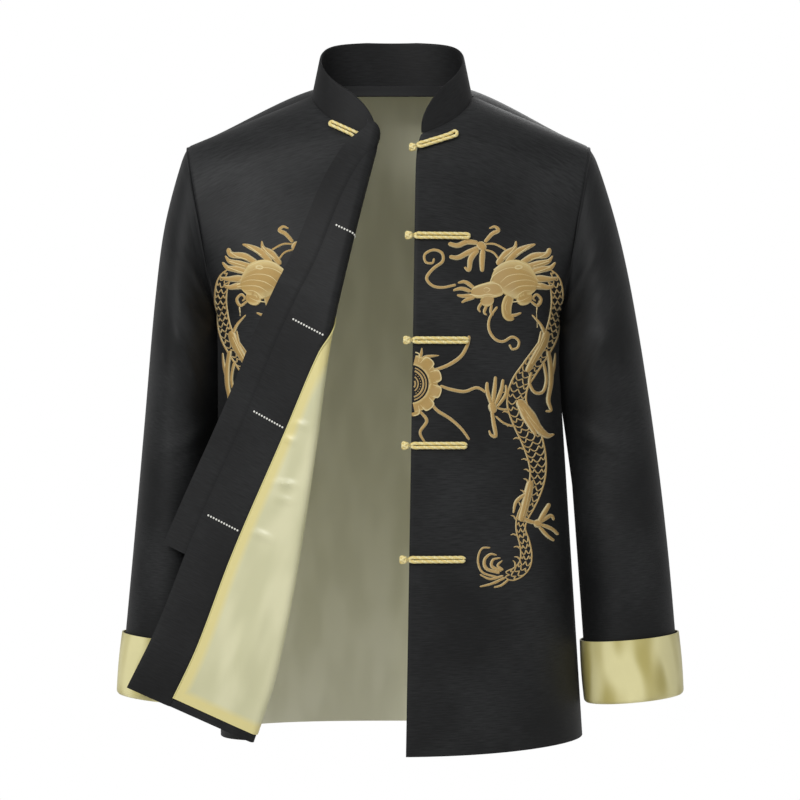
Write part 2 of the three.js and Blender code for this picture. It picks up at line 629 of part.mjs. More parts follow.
function collar() {
  const heights = steps(0, 1, 3);
  const anglesOf = (side) => {
    const [first, second, ...rest] = neckStations(side);
    return [...[0, 0.2, 0.5].map((t) => mix(first, second, t)), second, ...rest];
  };
  const strip = (side) => anglesOf(side).map((angle) => heights.map((h) => collarPoint(side, angle, h)));
  const triples = [...flipped(gridTriangles(strip(LEFT))), ...gridTriangles(strip(RIGHT))];
  const inward = (p) => vec(-p.x, NECK_CENTRE_Y - p.y, 0).normalize();
  return sheetGeometry(triples, { to: COLLAR_THICKNESS, pull: 0, inward });
}

// ---------- frogs ----------
// A closed cord of the given centreline.
function cordLoop(points) {
  const centreline = new THREE.CatmullRomCurve3(points, true, "centripetal");
  return new THREE.TubeGeometry(centreline, CORD_SEGMENTS, CORD_RADIUS, CORD_SIDES, true);
}

// A frog's outline on flat cloth: two strands side by side from its far end to the front edge, then
// the end that fastens. Each point is [distance from the front edge, height].
const STRAND_HEIGHT = CORD_RADIUS + 0.25;
const KNOT_END = { start: 3, points: [[1, 0]] };
const TUCKED_END = { start: 8, points: [[6, 0]] };
const LOOP_END = { start: 2, points: [[-4, -4.6], [-10, -4.2], [-13, 0], [-10, 4.2], [-4, 4.6]] };

function frogOutline(end, length) {
  const strand = steps(end.start, length - 3, 9);
  return [
    ...strand.map((q) => [q, STRAND_HEIGHT]),
    [length, 0],
    ...[...strand].reverse().map((q) => [q, -STRAND_HEIGHT]),
    ...end.points,
  ];
}

// The way out of the cloth at a point of a front.
function outOf(surface, v, q, side) {
  const dv = 0.003;
  const across = surface(v, q + 1).sub(surface(v, q - 1));
  const up = surface(v + dv, q).sub(surface(v - dv, q));
  return across.cross(up).normalize().multiplyScalar(side);
}

// The row and distance of the point of a front that is at x and z, found from a first guess.
function findPlace(surface, x, z, [v, q]) {
  const dv = 0.002;
  for (let i = 0; i < 12; i += 1) {
    const p = surface(v, q);
    const alongQ = surface(v, q + 1).sub(p);
    const alongV = surface(v - dv, q).sub(p).divideScalar(-dv);
    const [dx, dz] = [x - p.x, z - p.z];
    const scale = alongQ.x * alongV.z - alongV.x * alongQ.z;
    q += clamp((dx * alongV.z - alongV.x * dz) / scale, -8, 8);
    v += clamp((alongQ.x * dz - dx * alongQ.z) / scale, -0.02, 0.02);
  }
  return [v, q];
}

// Where a frog's outline lies on a front, as a row and a distance. The top one rises along the neck.
const alongRowAt = (side, z) => (q, h) => [rowAtHeight(side, z + h), q];
const levelOn = (surface, z) => (q, h) =>
  findPlace(surface, leftEdgeX(z) + q, z + h, [rowAtHeight(LEFT, z + h), q]);

function alongNeck(surface, side) {
  const slope = radians(NECK_FROG_SLOPE[side]);
  const start = side === LEFT ? leftEdgeX(NECK_FROG_Z[LEFT]) : -foldX(NECK_FROG_Z[RIGHT]);
  return (q, h) => {
    const [along, across] = [q * NECK_FROG_SCALE, h];
    const x = start + side * (along * Math.cos(slope) - across * Math.sin(slope));
    const z = NECK_FROG_Z[side] + along * Math.sin(slope) + across * Math.cos(slope);
    return findPlace(surface, x, z, [NECK_ROW - 0.01, Math.max(q, 4)]);
  };
}

// A point of a frog, stood off the outside of the cloth. Past the edge it goes straight on.
function frogPoint(surface, side, place, q, h, clear) {
  const inner = Math.max(q, 1);
  const [v, d] = place(inner, h);
  const out = outOf(surface, v, Math.max(d, 1), side);
  const on = surface(v, d).addScaledVector(out, CORD_RADIUS + clear);
  if (q >= inner) return on;
  const [v2, d2] = place(inner + 4, h);
  const back = surface(v2, d2).sub(surface(v, d)).normalize();
  return on.addScaledVector(back, q - inner);
}

const frog = (surface, side, place, end, length, clear) =>
  cordLoop(frogOutline(end, length).map(([q, h]) => frogPoint(surface, side, place, q, h, clear)));

const knot = () => new THREE.SphereGeometry(KNOT_RADIUS, 8, 6);

// ---------- the jacket ----------
const BLACK_CLOTH = new THREE.MeshStandardMaterial({ color: 0x2b2d2e, roughness: 0.85, metalness: 0 });
const PALE_SATIN = new THREE.MeshStandardMaterial({ color: 0xd9d2a0, roughness: 0.4, metalness: 0 });
const CREAM_CORD = new THREE.MeshStandardMaterial({ color: 0xeedfa6, roughness: 0.5, metalness: 0 });

const jacket = new THREE.Group();
function addPiece(name, geometry, material) {
  const mesh = new THREE.Mesh(geometry, material);
  mesh.name = name;
  jacket.add(mesh);
  return mesh;
}

addPiece("back", back(), BLACK_CLOTH);
addPiece("left_front", leftFront(), BLACK_CLOTH);
const rightSheet = rightWhole();
addPiece("right_front", rightFront(rightSheet), BLACK_CLOTH);
addPiece("right_underlap", underlap(rightSheet), BLACK_CLOTH);
addPiece("right_facing", facing(rightSheet), BLACK_CLOTH);
addPiece("right_lining", lining(rightSheet), PALE_SATIN);
addPiece("left_sleeve", sleeve(LEFT), BLACK_CLOTH);
addPiece("right_sleeve", sleeve(RIGHT), BLACK_CLOTH);
addPiece("left_cuff", cuff(LEFT), PALE_SATIN);
addPiece("right_cuff", cuff(RIGHT), PALE_SATIN);
addPiece("collar", collar(), BLACK_CLOTH);

// The top frog, at the neck, is the one with no height of its own. Its loop is tucked in by the fold.
[null, ...FROG_HEIGHTS].forEach((z, i) => {
  const number = i + 1;
  const atNeck = z === null;
  const clear = atNeck ? NECK_FROG_CLEAR : FROG_CLEAR;
  const lengthOn = (side) => (atNeck ? NECK_FROG_LENGTH : FROG_LENGTH)[side];
  const leftPlace = atNeck ? alongNeck(leftFrontPoint, LEFT) : levelOn(leftFrontPoint, z);
  const rightPlace = atNeck ? alongNeck(rightFrontPoint, RIGHT) : alongRowAt(RIGHT, z);
  const loopEnd = atNeck ? TUCKED_END : LOOP_END;
  const leftCord = frog(leftFrontPoint, LEFT, leftPlace, KNOT_END, lengthOn(LEFT), clear);
  const rightCord = frog(rightFrontPoint, RIGHT, rightPlace, loopEnd, lengthOn(RIGHT), clear);
  addPiece(`left_frog_${number}`, leftCord, CREAM_CORD);
  addPiece(`right_frog_${number}`, rightCord, CREAM_CORD);
  const ball = addPiece(`left_knot_${number}`, knot(), CREAM_CORD);
  ball.position.copy(frogPoint(leftFrontPoint, LEFT, leftPlace, -KNOT_RADIUS - CORD_RADIUS, 0, clear));
});

export default jacket;
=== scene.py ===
# %% [markdown]
# # A tang jacket, worn open
# This lesson builds the looks of a black tang jacket: a straight body, set-in sleeves with turned-back
# satin cuffs, a stand collar, cord frogs with ball knots, and a dragon embroidered in gold thread on each
# front. The right front is folded back outwards, so its facing and its satin lining show.
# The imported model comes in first. It is the frame that every piece here is cut to.

import math

import bmesh
import bpy
import numpy as np
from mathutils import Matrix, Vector
from mathutils.bvhtree import BVHTree


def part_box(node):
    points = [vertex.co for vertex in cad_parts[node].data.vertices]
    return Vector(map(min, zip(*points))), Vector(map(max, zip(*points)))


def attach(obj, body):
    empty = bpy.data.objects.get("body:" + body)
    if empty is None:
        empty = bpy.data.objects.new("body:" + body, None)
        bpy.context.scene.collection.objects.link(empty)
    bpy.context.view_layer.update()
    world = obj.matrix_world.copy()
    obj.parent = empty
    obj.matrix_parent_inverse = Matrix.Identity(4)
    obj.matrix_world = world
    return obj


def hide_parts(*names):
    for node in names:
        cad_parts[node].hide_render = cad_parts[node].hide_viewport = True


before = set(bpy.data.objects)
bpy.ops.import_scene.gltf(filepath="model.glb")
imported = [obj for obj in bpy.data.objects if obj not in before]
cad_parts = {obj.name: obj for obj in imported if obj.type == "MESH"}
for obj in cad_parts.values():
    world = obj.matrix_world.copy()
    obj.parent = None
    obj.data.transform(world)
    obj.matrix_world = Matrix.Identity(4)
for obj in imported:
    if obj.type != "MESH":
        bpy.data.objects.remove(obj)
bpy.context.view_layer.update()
MM = 0.001

# %% [markdown]
# ## Camera, floor and light
# The camera stands level with the middle of the jacket, 2.9 m in front of it, with a long lens, so that
# the jacket looks nearly flat-on. Soft light comes from all round, with one large lamp high on each side
# of the front. The floor is where a standing wearer's feet would be.

# %% Camera and studio
CAMERA_DISTANCE = 2.9
PICTURE_WIDTH = 0.88  # what the lens takes in at the jacket, in metres
SENSOR = 36.0
NECK_HEIGHT = 1.45  # of the origin above the floor

camera = bpy.data.objects.new("camera", bpy.data.cameras.new("camera"))
camera.data.sensor_width = SENSOR
camera.data.lens = SENSOR * CAMERA_DISTANCE / PICTURE_WIDTH
camera.location = (0.0088, -CAMERA_DISTANCE, -0.33)
camera.rotation_euler = (math.pi / 2, 0, 0)
bpy.context.collection.objects.link(camera)
bpy.context.scene.camera = camera
bpy.context.scene.view_settings.view_transform = "Standard"


def lamp(name, place, aim, size, power):
    data = bpy.data.lights.new(name, "AREA")
    data.shape = "SQUARE"
    data.size = size
    data.energy = power
    ob = bpy.data.objects.new(name, data)
    ob.location = place
    ob.rotation_euler = (Vector(aim) - Vector(place)).to_track_quat("-Z", "Y").to_euler()
    bpy.context.collection.objects.link(ob)


lamp("key_lamp", (-1.5, -2.2, 1.3), (0, 0, -0.3), 1.2, 50)
lamp("fill_lamp", (1.9, -2.0, 0.4), (0, 0, -0.35), 1.6, 7)
lamp("back_lamp", (0.6, 2.6, 1.6), (0, 0, -0.3), 1.6, 22)

world = bpy.data.worlds.new("studio")
world.use_nodes = True
backdrop = world.node_tree.nodes["Background"]
seen = world.node_tree.nodes.new("ShaderNodeLightPath").outputs["Is Camera Ray"]
brightness = world.node_tree.nodes.new("ShaderNodeMapRange")
brightness.inputs["To Min"].default_value = 0.42 # as light on the jacket
brightness.inputs["To Max"].default_value = 1.0  # as the white behind it
world.node_tree.links.new(seen, brightness.inputs["Value"])
world.node_tree.links.new(brightness.outputs["Result"], backdrop.inputs["Strength"])
backdrop.inputs["Color"].default_value = (1, 1, 1, 1)
bpy.context.scene.world = world

# %% [markdown]
# ## Materials
# Each finish is a small node tree. Colours are written as they look on screen and turned to linear light by
# one function, and one helper adds a node with its settings and links. Cloth patterns follow each piece's
# own UV map, whose units are metres of cloth, so a thread is the same size on every piece.

# %% Node helpers
def colour(code):
    parts = [int(code[i : i + 2], 16) / 255 for i in (1, 3, 5)]
    linear = [p / 12.92 if p <= 0.04045 else ((p + 0.055) / 1.055) ** 2.4 for p in parts]
    return (*linear, 1.0)


def add(tree, kind, inputs=None, **settings):
    """Adds a node. inputs gives sockets by name or number, each a value or another node's output."""
    node = tree.nodes.new(kind)
    for key, value in settings.items():
        setattr(node, key, value)
    for key, value in (inputs or {}).items():
        socket = node.inputs[key]
        if isinstance(value, bpy.types.NodeSocket):
            tree.links.new(value, socket)
        else:
            socket.default_value = value
    return node


def new_finish(name, **shader_values):
    """A material with a Principled shader whose constant sockets are set, ready for its pattern."""
    material = bpy.data.materials.new(name)
    material.use_nodes = True
    tree = material.node_tree
    shader = tree.nodes["Principled BSDF"]
    for key, value in shader_values.items():
        shader.inputs[key.replace("_", " ")].default_value = value
    return material, tree, shader


# %% [markdown]
# ### Black slub cloth
# The body and sleeves are a plain-woven silk-look cloth. Its weft has slubs, which are short thicker
# stretches of thread, and they give the eye faint light streaks that lie across the cloth. Real threads are
# about 0.3 mm, too fine to show here, so the weave is drawn at 0.9 mm.

# %% Black cloth
SLUB_LENGTH = 14 * MM
SLUB_HEIGHT = 1.1 * MM
THREAD = 0.9 * MM


# A Mix node has sockets of several kinds under one name, so its colour ones go by number.
MIX_FIRST, MIX_SECOND, MIX_RESULT = 6, 7, 2


def black_cloth(name, dark, light, roughness):
    material, tree, shader = new_finish(
        name, Roughness=roughness, Specular_IOR_Level=0.28, Sheen_Weight=0.06, Sheen_Roughness=0.4
    )
    cloth = add(tree, "ShaderNodeUVMap", uv_map="cloth").outputs["UV"]
    streaks = add(
        tree, "ShaderNodeMapping", {"Vector": cloth, "Scale": (1 / SLUB_LENGTH, 1 / SLUB_HEIGHT, 1)}
    )
    slub = add(
        tree,
        "ShaderNodeTexNoise",
        {"Vector": streaks.outputs["Vector"], "Scale": 1.0, "Detail": 3.0, "Roughness": 0.55},
    )
    cloud = add(tree, "ShaderNodeTexNoise", {"Vector": cloth, "Scale": 9.0, "Detail": 2.0})
    both = add(
        tree,
        "ShaderNodeMath",
        {0: slub.outputs["Fac"], 1: cloud.outputs["Fac"]},
        operation="MULTIPLY",
    )
    ramp = add(
        tree,
        "ShaderNodeMapRange",
        {"Value": both.outputs["Value"], "From Min": 0.16, "From Max": 0.40},
    )
    tint = add(
        tree,
        "ShaderNodeMix",
        {"Factor": ramp.outputs["Result"], MIX_FIRST: colour(dark), MIX_SECOND: colour(light)},
        data_type="RGBA",
    )
    tree.links.new(tint.outputs[MIX_RESULT], shader.inputs["Base Color"])
    threads = add(
        tree, "ShaderNodeMapping", {"Vector": cloth, "Scale": (1 / THREAD, 1 / THREAD, 1)}
    )
    weave = add(
        tree,
        "ShaderNodeTexChecker",
        {"Vector": threads.outputs["Vector"], "Scale": 1.0},
    )
    height = add(
        tree,
        "ShaderNodeMath",
        {0: weave.outputs["Fac"], 1: 0.35, 2: slub.outputs["Fac"]},
        operation="MULTIPLY_ADD",
    )
    bump = add(
        tree,
        "ShaderNodeBump",
        {"Height": height.outputs["Value"], "Strength": 0.35, "Distance": 0.25 * MM},
    )
    tree.links.new(bump.outputs["Normal"], shader.inputs["Normal"])
    return material


BODY_CLOTH = black_cloth("black_slub_cloth", "#0d0e0f", "#262728", 0.56)
FACING_CLOTH = black_cloth("black_facing_cloth", "#0b0b0c", "#1e1f20", 0.6)
print("black cloths:", BODY_CLOTH.name, FACING_CLOTH.name)

# %% [markdown]
# ### Pale satin
# The lining and the cuffs are woven so that long threads float over the face. That gives the eye a smooth,
# greenish-yellow cloth with soft bright highlights along its creases. The colour is also mixed from a darker
# and a paler tone in long soft bands: partly a change of tone, partly painted sheen, faint on the lining and
# strong on the cuffs. The lining is yellower along its edges, where the turned-in allowance lies under it.

# %% Satin
ALLOWANCE = 11 * MM


def pale_satin(name, dark, light, edge=None):
    material, tree, shader = new_finish(
        name, Roughness=0.36, Specular_IOR_Level=0.55, Sheen_Weight=0.15, Sheen_Roughness=0.3
    )
    cloth = add(tree, "ShaderNodeUVMap", uv_map="cloth").outputs["UV"]
    # Painted sheen: noise stretched into long soft bands mixes the darker and the paler tone. It is faint on
    # the lining and the inner satin, and strong on the cuffs, where the bands stand in for highlights.
    sheen_bands = add(tree, "ShaderNodeMapping", {"Vector": cloth, "Scale": (1 / (32 * MM), 1 / (90 * MM), 1)})
    cloud = add(
        tree, "ShaderNodeTexNoise", {"Vector": sheen_bands.outputs["Vector"], "Scale": 1.0, "Detail": 1.0}
    )
    sheen = add(
        tree,
        "ShaderNodeMapRange",
        {"Value": cloud.outputs["Fac"], "From Min": 0.35, "From Max": 0.65},
        interpolation_type="SMOOTHSTEP",
    )
    tint = add(tree, "ShaderNodeMix", {"Factor": sheen.outputs["Result"]}, data_type="RGBA")
    tint.inputs[6].default_value = colour(dark)
    tint.inputs[7].default_value = colour(light)
    result = tint.outputs[2]
    if edge:
        across = add(tree, "ShaderNodeSeparateXYZ", {"Vector": cloth})
        nearest = add(
            tree,
            "ShaderNodeMath",
            {0: across.outputs["X"], 1: across.outputs["Y"]},
            operation="MINIMUM",
        )
        band = add(
            tree,
            "ShaderNodeMapRange",
            {"Value": nearest.outputs["Value"], "From Min": ALLOWANCE * 0.7, "From Max": ALLOWANCE * 1.3},
        )
        over = add(tree, "ShaderNodeMix", {"Factor": band.outputs["Result"]}, data_type="RGBA")
        over.inputs[6].default_value = colour(edge)
        tree.links.new(result, over.inputs[7])
        result = over.outputs[2]
    tree.links.new(result, shader.inputs["Base Color"])
    floats = add(
        tree, "ShaderNodeMapping", {"Vector": cloth, "Scale": (1 / (6 * MM), 1 / (0.5 * MM), 1)}
    )
    fine = add(
        tree, "ShaderNodeTexNoise", {"Vector": floats.outputs["Vector"], "Scale": 1.0, "Detail": 2.0}
    )
    bump = add(
        tree,
        "ShaderNodeBump",
        {"Height": fine.outputs["Fac"], "Strength": 0.12, "Distance": 0.2 * MM},
    )
    tree.links.new(bump.outputs["Normal"], shader.inputs["Normal"])
    return material


LINING_SATIN = pale_satin("lining_satin", "#d0cea6", "#e0ddb6", edge="#e3d795")
# The inner satin is the lining satin painted paler, as painted light for the shaded inside of the back, the
# left front and the sleeves.
INNER_SATIN_PAINTED_LIGHTER = pale_satin("inner_satin_painted_lighter", "#dbd9bf", "#e6e4cc")
# The cuff's two tones lie far apart, so its bands are a strong painted sheen.
CUFF_SATIN = pale_satin("cuff_satin", "#bcb06a", "#eae2a9")

# %% [markdown]
# ### Thread and cord
# Satin stitch lays threads side by side across each shape. Light then catches every thread, and the rim of
# a shape, where the threads turn down into the cloth, looks paler. The two are painted into the colour: the
# paler rim is a painted highlight, and each thread is darkened towards its grooves as painted shade. The
# frogs are cords of the same kind in cream. Both patterns follow attributes that the sweeping tools below
# leave on the mesh: "along", the length along the path in metres, and "across", from -1 to 1.

# %% Thread
def thread(name, body, rim, pitch, roughness, strength, slant):
    material, tree, shader = new_finish(
        name, Roughness=roughness, Specular_IOR_Level=0.5, Sheen_Weight=0.2, Sheen_Roughness=0.35
    )
    along = add(tree, "ShaderNodeAttribute", attribute_name="along").outputs["Fac"]
    across = add(tree, "ShaderNodeAttribute", attribute_name="across").outputs["Fac"]
    leaning = add(
        tree, "ShaderNodeMath", {0: across, 1: slant * pitch, 2: along}, operation="MULTIPLY_ADD"
    )
    phase = add(
        tree,
        "ShaderNodeMath",
        {0: leaning.outputs["Value"], 1: 2 * math.pi / pitch},
        operation="MULTIPLY",
    )
    ridge = add(tree, "ShaderNodeMath", {0: phase.outputs["Value"]}, operation="SINE")
    # Painted highlight: towards the edges of each stroke the colour turns to the paler rim colour.
    edge = add(tree, "ShaderNodeMath", {0: across}, operation="ABSOLUTE")
    rim_highlight_share = add(
        tree,
        "ShaderNodeMapRange",
        {"Value": edge.outputs["Value"], "From Min": 0.45, "From Max": 0.95},
        interpolation_type="SMOOTHSTEP",
    )
    tint = add(tree, "ShaderNodeMix", {"Factor": rim_highlight_share.outputs["Result"]}, data_type="RGBA")
    tint.inputs[6].default_value = colour(body)
    tint.inputs[7].default_value = colour(rim)
    # Painted shade: each thread darkens by up to a fifth towards the grooves between threads.
    shade = add(
        tree,
        "ShaderNodeMapRange",
        {"Value": ridge.outputs["Value"], "From Min": -1.0, "From Max": 1.0, "To Min": 0.8, "To Max": 1.0},
    )
    lit = add(
        tree,
        "ShaderNodeMix",
        {"Factor": 1.0},
        data_type="RGBA",
        blend_type="MULTIPLY",
    )
    tree.links.new(tint.outputs[2], lit.inputs[6])
    tree.links.new(shade.outputs["Result"], lit.inputs[7])
    tree.links.new(lit.outputs[2], shader.inputs["Base Color"])
    bump = add(
        tree,
        "ShaderNodeBump",
        {"Height": ridge.outputs["Value"], "Strength": strength, "Distance": 0.2 * MM},
    )
    tree.links.new(bump.outputs["Normal"], shader.inputs["Normal"])
    return material


# Each finish's second colour is the painted highlight along its rims.
GOLD_THREAD = thread("gold_embroidery_thread", "#cfa965", "#f9e9b6", 0.8 * MM, 0.42, 0.7, 0.0)
GOLD_FILL = thread("gold_fill_thread", "#c8a45f", "#e6cd8c", 0.9 * MM, 0.42, 0.7, 3.0)
GOLD_LIGHT = thread("gold_light_thread", "#f0dca2", "#f8e9b8", 0.8 * MM, 0.42, 0.5, 0.0)
CREAM_CORD = thread("cream_satin_cord", "#f8e08e", "#fdeeb0", 2.6 * MM, 0.45, 0.35, 1.2)
PALE_THREAD = thread("pale_prick_stitch", "#fbfaf2", "#ffffff", 0.7 * MM, 0.5, 0.3, 0.0)
PIPING = thread("yellow_piping", "#e2d684", "#efe6a0", 1.2 * MM, 0.45, 0.3, 1.0)
print("threads:", GOLD_THREAD.name, CREAM_CORD.name)

# %% Floor
floor_mesh = bpy.data.meshes.new("floor")
floor_mesh.from_pydata(
    [(x, y, -NECK_HEIGHT) for x, y in ((-1.5, -1.5), (1.5, -1.5), (1.5, 1.5), (-1.5, 1.5))],
    [],
    [(0, 1, 2, 3)],
)
floor = bpy.data.objects.new("floor", floor_mesh)
floor_finish, _, floor_shader = new_finish("pale_floor", Roughness=0.9)
floor_shader.inputs["Base Color"].default_value = colour("#f6f6f4")
floor_mesh.materials.append(floor_finish)
bpy.context.collection.objects.link(floor)

# %% [markdown]
# ## The jacket's cut
# Every panel is a set of rows, from the hem (0) to the shoulder (1). A row is a rounded line from the middle
# of the body out to the side seam or the armhole. The measures here are the cutter's, in millimetres, and
# the panels end on the same neck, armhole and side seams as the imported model's.

# %% Measures
LEFT, RIGHT = 1, -1
CLOTH = 1.2
HEM_FRONT_Z = {LEFT: -706, RIGHT: -688}
HEM_SIDE_Z = -696
UNDERARM_Z = -235
UNDERARM_ROW_Z = UNDERARM_Z + 3
SIDE_Y = 5
UNDERARM_X = {LEFT: 184, RIGHT: 192}
SIDE_FLARE = {LEFT: 25, RIGHT: -4}
FLARE_START_Z = -300
FRONT_PROFILE = (-62, -64, 95)  # y at the neck, swell, and the height it swells over
BACK_PROFILE = (62, 48, 80)
ROUND_BODY, ROUND_NECK, ROUND_SHOULDER = 2.5, 1.5, 1.0
NECK_HALF_WIDTH, NECK_HALF_DEPTH, NECK_CENTRE_Y = 88, 60, 3
NECK_FRONT_Z, NECK_BACK_Z, NECK_SIDE_Z = -46, 22, 5
NECK_END_ANGLE = {LEFT: 22, RIGHT: 12}
ARMHOLE_X = {LEFT: 200, RIGHT: 208}
ARMHOLE_Z, ARMHOLE_LEAN, ARMHOLE_HALF_HEIGHT, ARMHOLE_HALF_DEPTH = -143, 16, 92, 57
UNDERARM_ROW, NECK_ROW, TURN_ANGLE = 0.6, 0.85, 72
ROW_STEPS = 90


def mix(a, b, t):
    return a + (b - a) * t


def share(value, a, b):
    return np.clip((value - a) / (b - a), 0, 1)


def unit(v):
    return v / np.maximum(np.linalg.norm(v, axis=-1, keepdims=True), 1e-9)


def through(pairs, position):
    """A smooth value through (position, value) pairs."""
    x, y = np.array(pairs, float).T
    rise = np.diff(y) / np.diff(x)
    slope = np.concatenate([rise[:1], (rise[1:] + rise[:-1]) / 2, rise[-1:]])
    p = np.clip(position, x[0], x[-1])
    i = np.clip(np.searchsorted(x, p) - 1, 0, len(x) - 2)
    width = x[i + 1] - x[i]
    t = (p - x[i]) / width
    ease = t * t * (3 - 2 * t)
    return (
        mix(y[i], y[i + 1], ease)
        + slope[i] * width * t * (1 - t) ** 2
        - slope[i + 1] * width * t * t * (1 - t)
    )


# %% Seams and rows
def profile_y(profile, depth):
    neck_y, swell, over = profile
    return neck_y + swell * (1 - np.exp(-depth / over))


def side_seam(side, z):
    flare = SIDE_FLARE[side] * share(z, FLARE_START_Z, HEM_SIDE_Z)
    return np.array([side * (UNDERARM_X[side] + flare), SIDE_Y, z], float)


def neck_seam(side, angle):
    """The neck seam by degrees from the centre front."""
    a = np.radians(angle)
    mean = (NECK_FRONT_Z + NECK_BACK_Z) / 4 + NECK_SIDE_Z / 2
    tilt = (NECK_FRONT_Z - NECK_BACK_Z) / 2
    z = mean + tilt * np.cos(a) + (mean - NECK_SIDE_Z) * np.cos(2 * a)
    return np.array([side * NECK_HALF_WIDTH * np.sin(a), NECK_CENTRE_Y - NECK_HALF_DEPTH * np.cos(a), z])


def armhole(side, angle, forward):
    """The armhole seam by degrees from the shoulder; forward is 1 in front and -1 behind."""
    a = np.radians(angle)
    x = side * (ARMHOLE_X[side] + ARMHOLE_LEAN * np.cos(a))
    y = SIDE_Y - forward * ARMHOLE_HALF_DEPTH * np.sin(a)
    return np.array([x, y, ARMHOLE_Z + ARMHOLE_HALF_HEIGHT * np.cos(a)])


def panel_row(side, half, v):
    """One row of a half panel as (points, length along it)."""
    front = half == "front"
    profile, neck_z = (FRONT_PROFILE, NECK_FRONT_Z) if front else (BACK_PROFILE, NECK_BACK_Z)
    hem_z = HEM_FRONT_Z[side] if front else HEM_SIDE_Z
    neck_angle = NECK_END_ANGLE[side] if front else 180
    neck_end = neck_seam(side, neck_angle)
    forward = 1 if front else -1
    slope = 2.0
    if v <= UNDERARM_ROW:
        t = v / UNDERARM_ROW
        z = mix(hem_z, UNDERARM_ROW_Z, t)
        start = np.array([0, profile_y(profile, neck_z - z), z])
        end = side_seam(side, mix(HEM_SIDE_Z, UNDERARM_Z, t))
        roundness = ROUND_BODY
    elif v <= NECK_ROW:
        t = share(v, UNDERARM_ROW, NECK_ROW)
        z = mix(UNDERARM_ROW_Z, neck_end[2], t)
        middle = np.array([0, profile_y(profile, neck_z - z), z])
        start = mix(middle, np.array([neck_end[0], neck_end[1], z]), t**4)
        end = armhole(side, mix(180, TURN_ANGLE, t), forward)
        roundness = mix(ROUND_BODY, ROUND_NECK, t)
    else:
        t = share(v, NECK_ROW, 1)
        start = neck_seam(side, mix(neck_angle, 90, t))
        end = armhole(side, mix(TURN_ANGLE, 0, t), forward)
        roundness = mix(ROUND_NECK, ROUND_SHOULDER, t)
        slope = mix(2, 1, t)
    phi = np.linspace(0, math.pi / 2, ROW_STEPS + 1)
    out = np.sin(phi) ** (2 / roundness)
    back = np.maximum(0, np.cos(phi)) ** (2 / roundness)
    points = np.stack(
        [mix(start[0], end[0], out), mix(end[1], start[1], back), mix(start[2], end[2], out**slope)], 1
    )
    lengths = np.concatenate([[0], np.cumsum(np.linalg.norm(np.diff(points, axis=0), axis=1))])
    return points, lengths


def along_row(row, distance):
    """The points of a row at lengths along it, and past its ends in a straight line."""
    points, lengths = row
    d = np.atleast_1d(np.asarray(distance, float))
    p = np.stack([np.interp(d, lengths, points[:, k]) for k in range(3)], 1)
    first = unit(points[1] - points[0])
    last = unit(points[-1] - points[-2])
    return p + np.minimum(d, 0)[:, None] * first + np.maximum(d - lengths[-1], 0)[:, None] * last


def distance_at_x(row, x):
    points, lengths = row
    return float(np.interp(x, np.abs(points[:, 0]), lengths))


def row_height(side, v):
    if v <= UNDERARM_ROW:
        return mix(HEM_FRONT_Z[side], UNDERARM_ROW_Z, v / UNDERARM_ROW)
    return mix(UNDERARM_ROW_Z, NECK_FRONT_Z, share(v, UNDERARM_ROW, NECK_ROW))


def row_at_height(side, z):
    if z < UNDERARM_ROW_Z:
        return UNDERARM_ROW * share(z, HEM_FRONT_Z[side], UNDERARM_ROW_Z)
    return mix(UNDERARM_ROW, NECK_ROW, share(z, UNDERARM_ROW_Z, NECK_FRONT_Z))


# %% [markdown]
# ## Cloth as a wall
# A panel is a grid of points for its face and another for its inside, one cloth thickness under it, joined
# round the rim. Solidify could do this, but here facing and lining have to lie on the very same curves, so
# each layer is made from the front's own points, moved along its own normals. Creases are soft ridges, each
# given as a start, an end, how far the crease bows, its width and its depth, all in millimetres.

# %% Walls and creases
def grid_normals(grid, side):
    """The way out of a grid of points whose columns run out from the middle and whose rows run up."""
    across = np.gradient(grid, axis=1)
    up = np.gradient(grid, axis=0)
    return unit(np.cross(across, up)) * side


def ridges(x, z, folds):
    """The height of a set of creases over flat places (x, z)."""
    height = np.zeros_like(x)
    for (x0, z0), (x1, z1), bow, width, depth in folds:
        run = math.hypot(x1 - x0, z1 - z0)
        dx, dz = (x1 - x0) / run, (z1 - z0) / run
        t = np.clip(((x - x0) * dx + (z - z0) * dz) / run, 0, 1)
        off = (x - x0) * dz - (z - z0) * dx - bow * 4 * t * (1 - t)
        fade = np.sin(math.pi * t) ** 1.3
        height += depth * fade * np.exp(-((off / width) ** 2))
    return height


